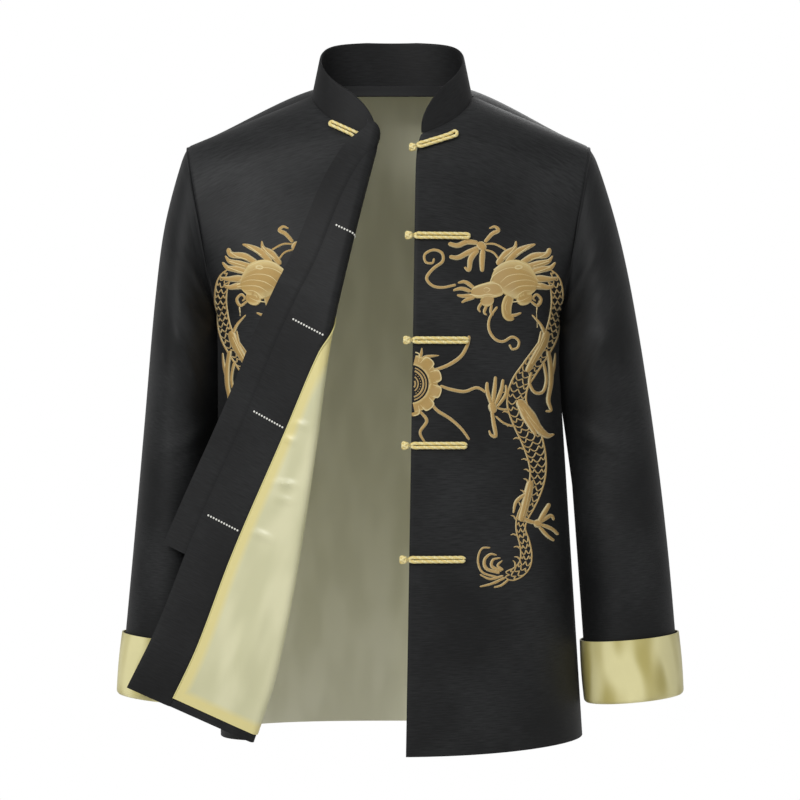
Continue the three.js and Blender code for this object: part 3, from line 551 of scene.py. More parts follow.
def wall(name, face, inside, uv, materials, ring=False, flip=False, inside_slot=None):
    """A closed wall between two grids, in millimetres. materials are for face, inside and rim.
    inside_slot, if given, holds the inside's material number for each square of the grid."""
    if flip:
        face, inside, uv = face[:, ::-1], inside[:, ::-1], uv[:, ::-1]
        inside_slot = None if inside_slot is None else inside_slot[:, ::-1]
    rows, columns = face.shape[:2]
    flat = np.arange(rows * columns).reshape(rows, columns)
    index = flat.copy()
    if ring:
        index[:, -1] = index[:, 0]
    count = rows * columns

    def squares(ids):
        corners = (ids[:-1, :-1], ids[:-1, 1:], ids[1:, 1:], ids[1:, :-1])
        return np.stack(corners, -1).reshape(-1, 4)

    paths = [(index[0], flat[0]), (index[-1, ::-1], flat[-1, ::-1])]
    if not ring:
        paths += [(index[:, -1], flat[:, -1]), (index[::-1, 0], flat[::-1, 0])]
    rim = [np.stack([p[1:], p[:-1], p[:-1] + count, p[1:] + count], 1) for p, _ in paths]
    rim_uv = [np.stack([f[1:], f[:-1], f[:-1], f[1:]], 1) for _, f in paths]
    outer, inner = squares(index), squares(index)[:, ::-1] + count
    faces = np.concatenate([outer, inner, *rim])
    loops = np.concatenate([squares(flat), squares(flat)[:, ::-1], *rim_uv])
    inner_slots = np.ones(len(inner), int) if inside_slot is None else inside_slot.ravel()
    slots = np.concatenate([np.zeros(len(outer), int), inner_slots, np.full(len(faces) - 2 * len(outer), 2)])
    mesh = bpy.data.meshes.new(name)
    points = np.concatenate([face.reshape(-1, 3), inside.reshape(-1, 3)]) * MM
    mesh.from_pydata(points.tolist(), [], faces.tolist())
    layer = mesh.uv_layers.new(name="cloth")
    layer.uv.foreach_set("vector", (uv.reshape(-1, 2)[loops.ravel()] * MM).astype(np.float32).ravel())
    for material in materials:
        mesh.materials.append(material)
    mesh.polygons.foreach_set("material_index", slots.astype(np.int32))
    finish_mesh(mesh)
    ob = bpy.data.objects.new(name, mesh)
    bpy.context.collection.objects.link(ob)
    return ob


def finish_mesh(mesh, merge=0.02 * MM, sharp=50):
    """Closes doubled points, shades it smooth, and keeps its turned edges crisp."""
    work = bmesh.new()
    work.from_mesh(mesh)
    bmesh.ops.remove_doubles(work, verts=work.verts, dist=merge)
    loose = [v for v in work.verts if not v.link_faces]
    bmesh.ops.delete(work, geom=loose, context="VERTS")
    work.to_mesh(mesh)
    work.free()
    mesh.polygons.foreach_set("use_smooth", [True] * len(mesh.polygons))
    mesh.set_sharp_from_angle(angle=math.radians(sharp))
    mesh.update()


def area_of(grid):
    """The area of a grid of points, in square metres."""
    a, b, c, d = grid[:-1, :-1], grid[:-1, 1:], grid[1:, 1:], grid[1:, :-1]
    halves = np.linalg.norm(np.cross(b - a, c - a), axis=-1) + np.linalg.norm(np.cross(c - a, d - a), axis=-1)
    return float(halves.sum()) / 2 * MM * MM


def hand_in(piece, node, face):
    """Rides a cloth piece on the jacket's one body, hides its CAD node, and prints its area, its faces and
    how far it lies off that node's box.
    """
    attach(piece, "root")
    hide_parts(node)
    area = area_of(face)
    low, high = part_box(node)
    points = np.array([v.co for v in piece.data.vertices])
    off = max(np.abs(points.min(0) - np.array(low)).max(), np.abs(points.max(0) - np.array(high)).max())
    print(f"{node}: {area:.4f} m2, {len(piece.data.polygons)} faces, {off * 1000:.1f} mm off its node's box")


def edge_dip(distance, depth=0.7, reach=1.8):
    """How far cloth is pressed in beside a seam."""
    return -depth * np.exp(-((distance / reach) ** 2))


def spaced(count, ends=(0.004, 0.009, 0.015, 0.024)):
    """Shares from 0 to 1, close together at both ends for the pressed seams."""
    middle = np.linspace(0, 1, count)
    close = np.array(ends)
    return np.unique(np.concatenate([middle, close, 1 - close]))


# %% [markdown]
# ## Left front
# The left front hangs straight. Its edge runs nearly plumb from the collar, and it is turned under along
# the edge and the hem. Its inside is satin, with a facing of the black cloth along the front edge.

# %% Left front
LEFT_EDGE = (15, 26, 6.5, 12)  # x at the hem and the neck, then how far and how soon it turns away
FACING_WIDTH = 50
PANEL_V = np.linspace(0, 1, 230)
SEAM_ALLOWANCE = 9  # black cloth turned inside along the armholes

LEFT_FRONT_FOLDS = [
    ((95, -110), (60, -330), 8, 26, -1.6),
    ((176, -215), (95, -330), -10, 13, 1.5),
    ((186, -250), (120, -400), 10, 15, -1.5),
    ((60, -420), (75, -690), -6, 30, 2.2),
    ((150, -470), (165, -692), 8, 24, 2.6),
    ((110, -520), (120, -694), 5, 20, -2.2),
    ((34, -560), (40, -700), 3, 14, -1.2),
    ((190, -100), (130, -170), 8, 16, -1.6),
]


def left_edge_x(z):
    hem_x, neck_x, turn, over = LEFT_EDGE
    return mix(hem_x, neck_x, share(z, HEM_FRONT_Z[LEFT], NECK_FRONT_Z)) + turn * np.exp(
        (z - NECK_FRONT_Z) / over
    )


def left_front_grid():
    shares = spaced(84)
    grid, uv = [], []
    for v in PANEL_V:
        row = panel_row(LEFT, "front", v)
        start = distance_at_x(row, left_edge_x(row_height(LEFT, v))) if v <= NECK_ROW else 0
        q = shares * (row[1][-1] - start)
        grid.append(along_row(row, start + q))
        uv.append(np.stack([q, np.full_like(q, row[0][0, 2])], 1))
    return np.array(grid), np.array(uv)


left_face, left_uv = left_front_grid()
left_normals = grid_normals(left_face, LEFT)
left_width = left_uv[:, -1:, 0]
left_relief = (
    ridges(left_face[..., 0], left_face[..., 2], LEFT_FRONT_FOLDS)
    + edge_dip(left_width - left_uv[..., 0])
    + edge_dip(left_uv[..., 0], 0.5, 2.2)
)
left_face = left_face + left_normals * left_relief[..., None]
left_normals = grid_normals(left_face, LEFT)
left_inside = left_face - left_normals * CLOTH
faced = left_uv[:-1, :-1, 0] < FACING_WIDTH
faced |= (left_width - left_uv[..., 0])[:-1, :-1] < SEAM_ALLOWANCE
left_front = wall(
    "left_front_cloth",
    left_face,
    left_inside,
    left_uv,
    (BODY_CLOTH, INNER_SATIN_PAINTED_LIGHTER, FACING_CLOTH),
    inside_slot=np.where(faced, 2, 1),
)
hand_in(left_front, "left_front", left_face)

# %% [markdown]
# ## Right front, folded back
# The right front lies on the body as far as a slanting fold. There it turns round on itself and lies back
# over the chest, so its inside shows. One set of points carries all of its layers: the cloth itself, the
# underlap strip past its front edge, the facing, and the lining.

# %% The fold
FOLD_TOP_Z, FOLD_BOTTOM_Z = -50, HEM_FRONT_Z[RIGHT]
FOLD_X = [(0, 20), (0.05, 28), (0.25, 59), (0.35, 71), (0.5, 83.5), (0.75, 108), (0.9, 128), (1, 149)]
FLAP_WIDTH = [(0, 0), (0.05, 20), (0.25, 46), (0.5, 91), (0.75, 132), (1, 152)]
FLAP_LEAN = [(0, 2), (0.12, 9), (0.3, 16), (0.5, 22), (0.73, 19), (1, 10)]
FLAP_RISE = [(0, 33), (0.25, 28.5), (0.5, 27), (0.75, 23.5), (1, 22)]
FOLD_RADIUS = (5.2, 3.4)
UNDERLAP_WIDTH, UNDERLAP_END_Z = 27, -545
LAYER_GAP, FACING_THICKNESS, LINING_THICKNESS, HEM_TURNING = 0.8, 0.9, 0.7, 9


def fold_share(z):
    return share(z, FOLD_TOP_Z, FOLD_BOTTOM_Z)


def fold_x(z):
    return float(through(FOLD_X, fold_share(z)))


def flap_width(z):
    return float(through(FLAP_WIDTH, fold_share(z)))


def fold_point(v):
    row = panel_row(RIGHT, "front", v)
    return along_row(row, distance_at_x(row, fold_x(row_height(RIGHT, v))))[0]


def right_row(v, q):
    """The right front's points at distances q from its front edge."""
    row = panel_row(RIGHT, "front", v)
    if v > NECK_ROW:
        return along_row(row, q)
    z = row_height(RIGHT, v)
    at = distance_at_x(row, fold_x(z))
    point = along_row(row, at)[0]
    towards_edge = unit(point - along_row(row, at + 3)[0])
    step = 0.004
    up = unit(fold_point(min(NECK_ROW, v + step)) - fold_point(max(0, v - step)))
    slant = math.atan2(up[0], up[2])
    out = unit(np.cross(towards_edge, up))
    across = unit(np.cross(up, out))
    climb = math.radians(float(through(FLAP_RISE, fold_share(z))))
    rise = math.sin(climb - slant)
    past = flap_width(z) - q
    flat_points = along_row(row, at - past)
    radius = mix(*FOLD_RADIUS, fold_share(z))
    run = math.sqrt(1 - rise * rise)
    lean = math.radians(float(through(FLAP_LEAN, fold_share(z))))
    target = np.array([-math.cos(lean), math.sin(lean), 0])
    turn = math.pi + math.atan2(-target @ out, -target @ across)
    over = np.maximum(past, 0)
    angle = np.minimum(turn, over * run / radius)
    flat = over * run - angle * radius
    sideways = radius * np.sin(angle) + flat * np.cos(angle)
    outwards = radius * (1 - np.cos(angle)) + flat * np.sin(angle)
    folded = point + across * sideways[:, None] + out * outwards[:, None] + up * (over * rise)[:, None]
    return np.where((past > 0)[:, None], folded, flat_points)


def right_width(v):
    row = panel_row(RIGHT, "front", v)
    if v > NECK_ROW:
        return row[1][-1]
    z = row_height(RIGHT, v)
    return flap_width(z) + row[1][-1] - distance_at_x(row, fold_x(z))


# %% The right front's points
STRIP_COLUMNS, FACED_COLUMNS, LINED_COLUMNS = 14, 30, 120
RIGHT_V = np.unique(
    np.concatenate(
        [
            np.linspace(0, NECK_ROW, 190),
            np.linspace(NECK_ROW, 1, 30),
            [row_at_height(RIGHT, UNDERLAP_END_Z), row_at_height(RIGHT, FOLD_BOTTOM_Z + HEM_TURNING)],
        ]
    )
)
right_points, right_uv = [], []
for v in RIGHT_V:
    end = right_width(v)
    q = np.concatenate(
        [
            np.linspace(-UNDERLAP_WIDTH, 0, STRIP_COLUMNS + 1),
            np.linspace(0, FACING_WIDTH, FACED_COLUMNS + 1)[1:],
            mix(FACING_WIDTH, end, np.linspace(0, 1, LINED_COLUMNS + 1)[1:]),
        ]
    )
    right_points.append(right_row(v, q))
    level = row_height(RIGHT, v) if v <= NECK_ROW else v * 300 - 300
    right_uv.append(np.stack([q, np.full_like(q, level)], 1))
right_points, right_uv = np.array(right_points), np.array(right_uv)

FLAP_FOLDS = [
    ((-150, -640), (-112, -560), 3, 10, 1.6),
    ((-60, -240), (-84, -330), 2, 7, 1.0),
    ((-118, -500), (-96, -430), 3, 9, -1.2),
]
RIGHT_BODY_FOLDS = [
    ((-188, -215), (-110, -330), 10, 13, 1.6),
    ((-190, -250), (-130, -400), -10, 15, -1.6),
    ((-95, -110), (-70, -200), -6, 20, -1.5),
    ((-190, -100), (-130, -170), -8, 16, -1.6),
    ((-170, -470), (-175, -680), -6, 12, 1.5),
]
flap_edge = np.array([[flap_width(row_height(RIGHT, v)) if v <= NECK_ROW else 0] for v in RIGHT_V])
past_fold = flap_edge - right_uv[..., 0]
on_flap = share(past_fold, 14, 30)
on_body = share(-past_fold, 2, 20)
right_normals = grid_normals(right_points, RIGHT)
right_relief = on_flap * -ridges(right_points[..., 0], right_points[..., 2], FLAP_FOLDS)
right_relief = right_relief + on_body * ridges(right_points[..., 0], right_points[..., 2], RIGHT_BODY_FOLDS)
right_relief = right_relief + edge_dip(right_uv[:, -1:, 0] - right_uv[..., 0])
right_points = right_points + right_normals * right_relief[..., None]
right_normals = grid_normals(right_points, RIGHT)

FRONT_EDGE = STRIP_COLUMNS
FACING_EDGE = STRIP_COLUMNS + FACED_COLUMNS
BELOW_NECK = RIGHT_V <= NECK_ROW + 1e-9
ABOVE_TURNING = BELOW_NECK & (RIGHT_V >= row_at_height(RIGHT, FOLD_BOTTOM_Z + HEM_TURNING) - 1e-9)
ABOVE_UNDERLAP = BELOW_NECK & (RIGHT_V >= row_at_height(RIGHT, UNDERLAP_END_Z) - 1e-9)


def right_layer(rows, columns, top, bottom, pressed_at=None):
    """Two grids of the right front's points between two depths under its face. The inner one, which shows
    on the flap, is pressed in beside the seams that are pressed_at distances from the front edge."""
    points, normals = right_points[rows][:, columns], right_normals[rows][:, columns]
    uv = right_uv[rows][:, columns]
    depth = np.full(uv.shape[:2], bottom, float)
    for seam in pressed_at or ():
        depth += edge_dip(uv[..., 0] - seam, min(0.7, bottom - top - 0.15), 2.2)
    return points - normals * top, points - normals * depth[..., None], uv


# %% The right front's layers
ALL_ROWS = np.ones(len(RIGHT_V), bool)
face, inside, uv = right_layer(ALL_ROWS, slice(FRONT_EDGE, None), 0, CLOTH)
right_front = wall(
    "right_front_cloth", face, inside, uv, (BODY_CLOTH, BODY_CLOTH, BODY_CLOTH), flip=True
)
hand_in(right_front, "right_front", face)

strip_face, inside, uv = right_layer(ABOVE_UNDERLAP, slice(0, FRONT_EDGE + 1), 0, 2.4, (0,))
underlap = wall(
    "right_underlap_strip", strip_face, inside, uv, (BODY_CLOTH, FACING_CLOTH, FACING_CLOTH), flip=True
)
hand_in(underlap, "right_underlap", strip_face)

first = CLOTH + LAYER_GAP
face, inside, uv = right_layer(
    BELOW_NECK, slice(FRONT_EDGE, FACING_EDGE + 1), first, first + FACING_THICKNESS, (0, FACING_WIDTH)
)
facing = wall("right_facing_cloth", face, inside, uv, (FACING_CLOTH, FACING_CLOTH, FACING_CLOTH), flip=True)
hand_in(facing, "right_facing", face)

# %% [markdown]
# ### Lining
# Satin creases more sharply than the cloth under it. These creases lie across the flap where it has been
# pressed, and each one stands out as a bright line.

# %% Lining
LINING_FOLDS = [
    ((-108, -355), (-74, -366), -3, 3.2, 3.0),
    ((-116, -369), (-98, -376), 0, 3.0, 2.2),
    ((-131, -418), (-85, -426), -3, 3.2, 3.2),
    ((-128, -430), (-92, -438), 2, 3.4, 1.8),
    ((-152, -470), (-122, -482), -3, 3.4, 2.6),
    ((-117, -500), (-93, -476), 7, 3.6, 2.8),
    ((-166, -640), (-126, -500), 7, 12, 2.4),
    ((-100, -400), (-118, -560), -5, 9, 2.0),
    ((-152, -560), (-150, -662), 5, 9, 2.4),
    ((-175, -600), (-168, -664), 3, 7, 1.6),
]
satin_top, satin_under, satin_uv = right_layer(
    ABOVE_TURNING, slice(FACING_EDGE, None), first, first + LINING_THICKNESS
)
satin_normals = right_normals[ABOVE_TURNING][:, FACING_EDGE:]
flap_part = on_flap[ABOVE_TURNING][:, FACING_EDGE:]
lift = flap_part * np.maximum(0, ridges(satin_top[..., 0], satin_top[..., 2], LINING_FOLDS) + 0.4)
satin_under = satin_under - satin_normals * lift[..., None]
satin_top = satin_top - satin_normals * (lift * 0.6)[..., None]
satin_uv = satin_uv - np.array([FACING_WIDTH, FOLD_BOTTOM_Z + HEM_TURNING])
lining = wall(
    "right_lining_satin", satin_top, satin_under, satin_uv, (LINING_SATIN,) * 3, flip=True
)
hand_in(lining, "right_lining", satin_top)

# %% [markdown]
# ## Back
# The back is one piece. It falls from the shoulders with long soft folds, deeper towards the hem.

# %% Back
BACK_FOLDS = [
    ((-60, -330), (-70, -695), 6, 30, 3.0),
    ((50, -360), (62, -695), -6, 28, 2.8),
    ((0, -420), (-4, -695), 3, 22, -2.4),
    ((-130, -420), (-140, -694), 6, 22, 2.4),
    ((128, -440), (140, -694), -5, 24, 2.6),
    ((-185, -225), (-90, -330), 12, 15, 1.8),
    ((182, -225), (95, -320), -12, 15, 1.8),
    ((-70, -60), (60, -58), 10, 14, 1.0),
    ((-150, -130), (-100, -260), 8, 18, -1.6),
    ((148, -130), (100, -260), -8, 18, -1.6),
]


def back_grid():
    shares = spaced(62)[1:]
    grid, uv = [], []
    for v in PANEL_V:
        rights, lefts = (panel_row(side, "back", v) for side in (RIGHT, LEFT))
        spans = [rights[1][-1] * shares, lefts[1][-1] * shares]
        line = np.concatenate(
            [along_row(rights, spans[0])[::-1], along_row(lefts, 0), along_row(lefts, spans[1])]
        )
        grid.append(line)
        run = np.concatenate([-spans[0][::-1], [0], spans[1]])
        uv.append(np.stack([run, np.full_like(run, lefts[0][0, 2])], 1))
    return np.array(grid), np.array(uv)


back_face, back_uv = back_grid()
back_normals = grid_normals(back_face, -1)
back_relief = (
    ridges(back_face[..., 0], back_face[..., 2], BACK_FOLDS)
    + edge_dip(back_uv[:, -1:, 0] - back_uv[..., 0])
    + edge_dip(back_uv[..., 0] - back_uv[:, :1, 0])
)
back_face = back_face + back_normals * back_relief[..., None]
back_inside = back_face - grid_normals(back_face, -1) * CLOTH
back_edge = np.minimum(back_uv[:, -1:, 0] - back_uv[..., 0], back_uv[..., 0] - back_uv[:, :1, 0])
back = wall(
    "back_cloth",
    back_face,
    back_inside,
    back_uv,
    (BODY_CLOTH, INNER_SATIN_PAINTED_LIGHTER, BODY_CLOTH),
    flip=True,
    inside_slot=np.where(back_edge[:-1, :-1] < SEAM_ALLOWANCE, 2, 1),
)
hand_in(back, "back", back_face)

# %% [markdown]
# ## Sleeves and cuffs
# A sleeve is a run of oval rings from the armhole to the wrist. Its creases are placed by how far down the
# sleeve they lie and how far round it, where 0 degrees is the outer line and 90 faces forward. The satin
# cuff is turned back over the wrist edge and up inside.

# %% Sleeves
SLEEVE_OUTER = [
    (0, 216, -51),
    (0.1, 226, -70),
    (0.25, 247, -139),
    (0.4, 264, -218),
    (0.6, 285.5, -355),
    (0.8, 301.5, -490),
    (1, 315, -650),
]
SLEEVE_INNER = [
    (0, 184, -235),
    (0.1, 188, -243),
    (0.25, 189.5, -262),
    (0.4, 190, -300),
    (0.6, 194.5, -380),
    (0.8, 203, -500),
    (1, 214, -660),
]
# How far the sleeve fills out towards the body under the arm, along its run.
UNDERARM_FILL = [(0, 0), (0.04, 2.5), (0.12, 4.5), (0.24, 7), (0.35, 8), (0.46, 7.5), (0.56, 4), (0.68, 0)]
SLEEVE_DEPTH = [(0, ARMHOLE_HALF_DEPTH), (0.15, 62), (0.35, 67), (0.6, 62), (1, 50)]
SLEEVE_FORWARD_Y = -18
RIGHT_OUTER_SHIFT = [(0, 8), (0.1, 6), (0.25, 2.5), (0.4, -4.5), (0.6, -14.5), (0.8, -19), (1, -18)]
RIGHT_INNER_SHIFT = [(0, 8), (0.1, 8), (0.25, 7), (0.4, 5), (0.6, 0), (0.8, -8.5), (1, -17)]
SLEEVE_RUN = 800

# Degrees round and millimetres down, from and to.
SLEEVE_FOLDS = [
    ((150, 60), (60, 190), 12, 13, 2.2),
    ((160, 120), (75, 250), 14, 14, -2.0),
    ((130, 280), (60, 400), -10, 12, 1.8),
    ((60, 300), (140, 420), 10, 14, 1.6),
    ((100, 420), (95, 640), 10, 20, -2.0),
    ((150, 430), (60, 520), 10, 11, 1.5),
    ((215, 60), (300, 190), -12, 13, 2.2),
    ((230, 280), (300, 400), 10, 14, 1.8),
    ((250, 420), (260, 640), -10, 20, -2.0),
    ((210, 430), (300, 540), -10, 12, 1.5),
]


def sleeve_rings(side, places, offsets, angles):
    """Rings of a sleeve: its places from 0 at the armhole to 1 at the wrist, each stood off by an offset."""
    rings = []
    for s, offset in zip(places, offsets):
        swing = side == RIGHT
        outer = np.array(
            [
                through([(r[0], r[1]) for r in SLEEVE_OUTER], s) + swing * through(RIGHT_OUTER_SHIFT, s),
                through([(r[0], r[2]) for r in SLEEVE_OUTER], s),
            ]
        )
        inner = np.array(
            [
                through([(r[0], r[1]) for r in SLEEVE_INNER], s) + swing * through(RIGHT_INNER_SHIFT, s),
                through([(r[0], r[2]) for r in SLEEVE_INNER], s),
            ]
        )
        centre, axis = (outer + inner) / 2, (outer - inner) / 2
        reach = np.linalg.norm(axis)
        a = np.radians(angles)
        wide = (reach + offset) / reach * np.cos(a)
        forward = mix(SIDE_Y, SLEEVE_FORWARD_Y, share(s, 0.1, 1))
        depth = through(SLEEVE_DEPTH, s) + offset
        across = side * (centre[0] + axis[0] * wide)
        rings.append(np.stack([across, forward - depth * np.sin(a), centre[1] + axis[1] * wide], 1))
    return np.array(rings)


def ring_normals(grid, side):
    """The way out of a run of rings, where the last point of each ring is its first again."""
    wide = np.concatenate([grid[:, -2:-1], grid, grid[:, 1:2]], 1)
    around = np.gradient(wide, axis=1)[:, 1:-1]
    down = np.gradient(grid, axis=0)
    return unit(np.cross(around, down)) * side


def sleeve(side, name, node):
    places = np.unique(np.concatenate([[0, 0.003, 0.006, 0.01], np.linspace(0, 0.985, 190)]))
    angles = np.linspace(0, 360, 113)
    grid = sleeve_rings(side, places, np.zeros(len(places)), angles)
    tucked = sleeve_rings(side, [0], [-1.8], angles)
    tucked[..., 0] -= side * 3
    grid = np.concatenate([tucked, grid])
    round_it, down = np.meshgrid(angles, np.concatenate([[-1], places * SLEEVE_RUN]))
    relief = ridges(round_it, down, SLEEVE_FOLDS) * share(down, 4, 60)
    relief = relief + edge_dip(down, 0.5, 2.4) + 1.2 * np.exp(-(((down - 9) / 6) ** 2))
    fill = np.interp(down / SLEEVE_RUN, *zip(*UNDERARM_FILL))
    relief = relief + fill * np.exp(-(((round_it - 180) / 34) ** 2))
    grid = grid + ring_normals(grid, side) * relief[..., None]
    inside = grid - ring_normals(grid, side) * CLOTH
    uv = np.stack([round_it * 1.1, -down], -1)
    allowance = np.where(down[:-1, :-1] < SEAM_ALLOWANCE, 2, 1)
    finishes = (BODY_CLOTH, INNER_SATIN_PAINTED_LIGHTER, BODY_CLOTH)
    piece = wall(name, grid, inside, uv, finishes, ring=True, flip=side == RIGHT, inside_slot=allowance)
    hand_in(piece, node, grid)
    return grid


sleeve(LEFT, "left_sleeve_cloth", "left_sleeve")
sleeve(RIGHT, "right_sleeve_cloth", "right_sleeve")

# %% Cuffs
CUFF_HEIGHT, CUFF_CLEAR, CUFF_THICKNESS = 66, 2.6, 1.4
CUFF_CLEAR_INSIDE, CUFF_SWELL, CUFF_INSIDE_END = 2.4, 0.8, 0.95
CUFF_FOLDS = [
    ((60, 730), (70, 806), 4, 10, 1.8),
    ((118, 730), (110, 806), -3, 13, -1.8),
    ((84, 740), (96, 800), 3, 8, -1.2),
    ((95, 752), (150, 786), 6, 8, 1.2),
    ((240, 740), (250, 796), 4, 10, 1.3),
    ((300, 740), (292, 796), 3, 12, -1.0),
]


def cuff(side, name, node):
    top = 1 - CUFF_HEIGHT / SLEEVE_RUN
    outside, inside = CUFF_CLEAR + CUFF_THICKNESS, -(CLOTH + CUFF_CLEAR_INSIDE)
    down = np.linspace(0, 1, 26)
    turn = np.radians(np.linspace(0, 180, 9))[1:-1]
    middle, half = (outside + inside) / 2, (outside - inside) / 2
    places = [mix(top, 0.994, t) for t in down]
    places += [0.994 + 0.006 * math.sin(t) for t in turn]
    places += list(np.linspace(0.994, CUFF_INSIDE_END, 8))
    offsets = [outside + CUFF_SWELL * math.sin(math.pi * t) for t in down]
    offsets += [middle + half * math.cos(t) for t in turn]
    offsets += [inside] * 8
    angles = np.linspace(0, 360, 113)
    grid = sleeve_rings(side, np.array(places), np.array(offsets), angles)
    round_it = np.broadcast_to(angles, (len(places), len(angles)))
    depth = np.array(places)[:, None] * SLEEVE_RUN
    on_outside = (np.arange(len(places)) < len(down))[:, None]
    relief = ridges(round_it, np.broadcast_to(depth, round_it.shape), CUFF_FOLDS) * on_outside
    normals = ring_normals(grid, side)
    grid = grid + normals * relief[..., None]
    under = grid - ring_normals(grid, side) * CUFF_THICKNESS
    run = np.cumsum(np.concatenate([[0], np.abs(np.diff(places)) * SLEEVE_RUN + 0.2]))
    uv = np.stack([round_it * 0.95, np.broadcast_to(-run[:, None], round_it.shape)], -1)
    piece = wall(name, grid, under, uv, (CUFF_SATIN,) * 3, ring=True, flip=side == RIGHT)
    hand_in(piece, node, grid)


cuff(LEFT, "left_cuff_satin", "left_cuff")
cuff(RIGHT, "right_cuff_satin", "right_cuff")

# %% [markdown]
# ## Collar
# The stand collar is stiffened, so it keeps a clean curve. It is black inside and out, leans in a little
# towards the top, and rounds down to nothing much at each front end.

# %% Collar
COLLAR_HEIGHT_FRONT, COLLAR_HEIGHT_BACK, COLLAR_THICKNESS, COLLAR_CORNER = 40, 48, 2.2, 34
COLLAR_RADIUS, COLLAR_END_HEIGHT, COLLAR_LEAN = 72, 0.12, (2, 10)
SEAM_GAP = 0.3


def collar_line(side, angle, heights):
    seam = neck_seam(side, angle)
    tall = mix(COLLAR_HEIGHT_FRONT, COLLAR_HEIGHT_BACK, share(angle, 80, 160))
    lean = mix(*COLLAR_LEAN, math.sin(math.radians(angle)) ** 2)
    radial = unit(np.array([seam[0], seam[1] - NECK_CENTRE_Y, 0]))
    arc = math.radians(angle - NECK_END_ANGLE[side]) * COLLAR_RADIUS
    rounding = math.sqrt(1 - (1 - share(arc / COLLAR_CORNER, 0, 1)) ** 2)
    reach = tall * mix(COLLAR_END_HEIGHT, 1, rounding) * heights
    inward = radial * (lean * reach / COLLAR_HEIGHT_BACK)[:, None]
    return seam - inward + np.outer(SEAM_GAP + reach, [0, 0, 1])


def collar_grid():
    heights = np.concatenate([[-0.05], np.linspace(0, 0.94, 16), [0.97, 0.985, 1]])
    shares = np.linspace(0, 1, 80) ** 1.35
    rights = [collar_line(RIGHT, mix(NECK_END_ANGLE[RIGHT], 180, t), heights) for t in shares]
    lefts = [collar_line(LEFT, mix(NECK_END_ANGLE[LEFT], 180, t), heights) for t in shares]
    return np.array(rights + lefts[::-1][1:]).transpose(1, 0, 2)


collar_face = collar_grid()
collar_x, collar_y = collar_face[..., 0], collar_face[..., 1]
to_axis = unit(np.stack([-collar_x, NECK_CENTRE_Y - collar_y, 0 * collar_x], -1))
height_share = np.linspace(0, 1, collar_face.shape[0])[:, None]
roll = 0.9 * share(height_share, 0.86, 1) ** 2
collar_inside = collar_face + to_axis * (COLLAR_THICKNESS - roll)[..., None]
collar_face = collar_face + to_axis * (roll + 0.4 * np.exp(-((height_share / 0.06) ** 2)))[..., None]
collar_run = np.cumsum(np.linalg.norm(np.diff(collar_face[0], axis=0, prepend=collar_face[0][:1]), axis=1))
collar_uv = np.stack(
    np.broadcast_arrays(collar_run[None, :], height_share * COLLAR_HEIGHT_BACK), -1
)
collar = wall(
    "collar_cloth", collar_face, collar_inside, collar_uv, (FACING_CLOTH, FACING_CLOTH, FACING_CLOTH)
)
hand_in(collar, "collar", collar_face)

# %% [markdown]
# ## Sweeping a cord or a stitched shape along a line
# Frogs, knots, piping and embroidery are all thread or cord that follows a line. Geometry Nodes do that with
# one tree: the line is a chain of edges that carries its own half width, and a round profile is swept along
# it. The profile can be lobed and turned, as plied cord is. Two attributes stay on the result for the
# thread materials: the length along the line, and the place across it.

# %% The sweeping tree
def new_tree(name, numbers):
    """A Geometry Nodes tree with a geometry going in and out, and named number inputs."""
    tree = bpy.data.node_groups.new(name, "GeometryNodeTree")
    tree.interface.new_socket(name="Geometry", in_out="INPUT", socket_type="NodeSocketGeometry")
    tree.interface.new_socket(name="Geometry", in_out="OUTPUT", socket_type="NodeSocketGeometry")
    for label, value in numbers.items():
        kind = "NodeSocketInt" if isinstance(value, int) else "NodeSocketFloat"
        tree.interface.new_socket(name=label, in_out="INPUT", socket_type=kind).default_value = value
    tree.interface.new_socket(name="Finish", in_out="INPUT", socket_type="NodeSocketMaterial")
    return tree, add(tree, "NodeGroupInput").outputs


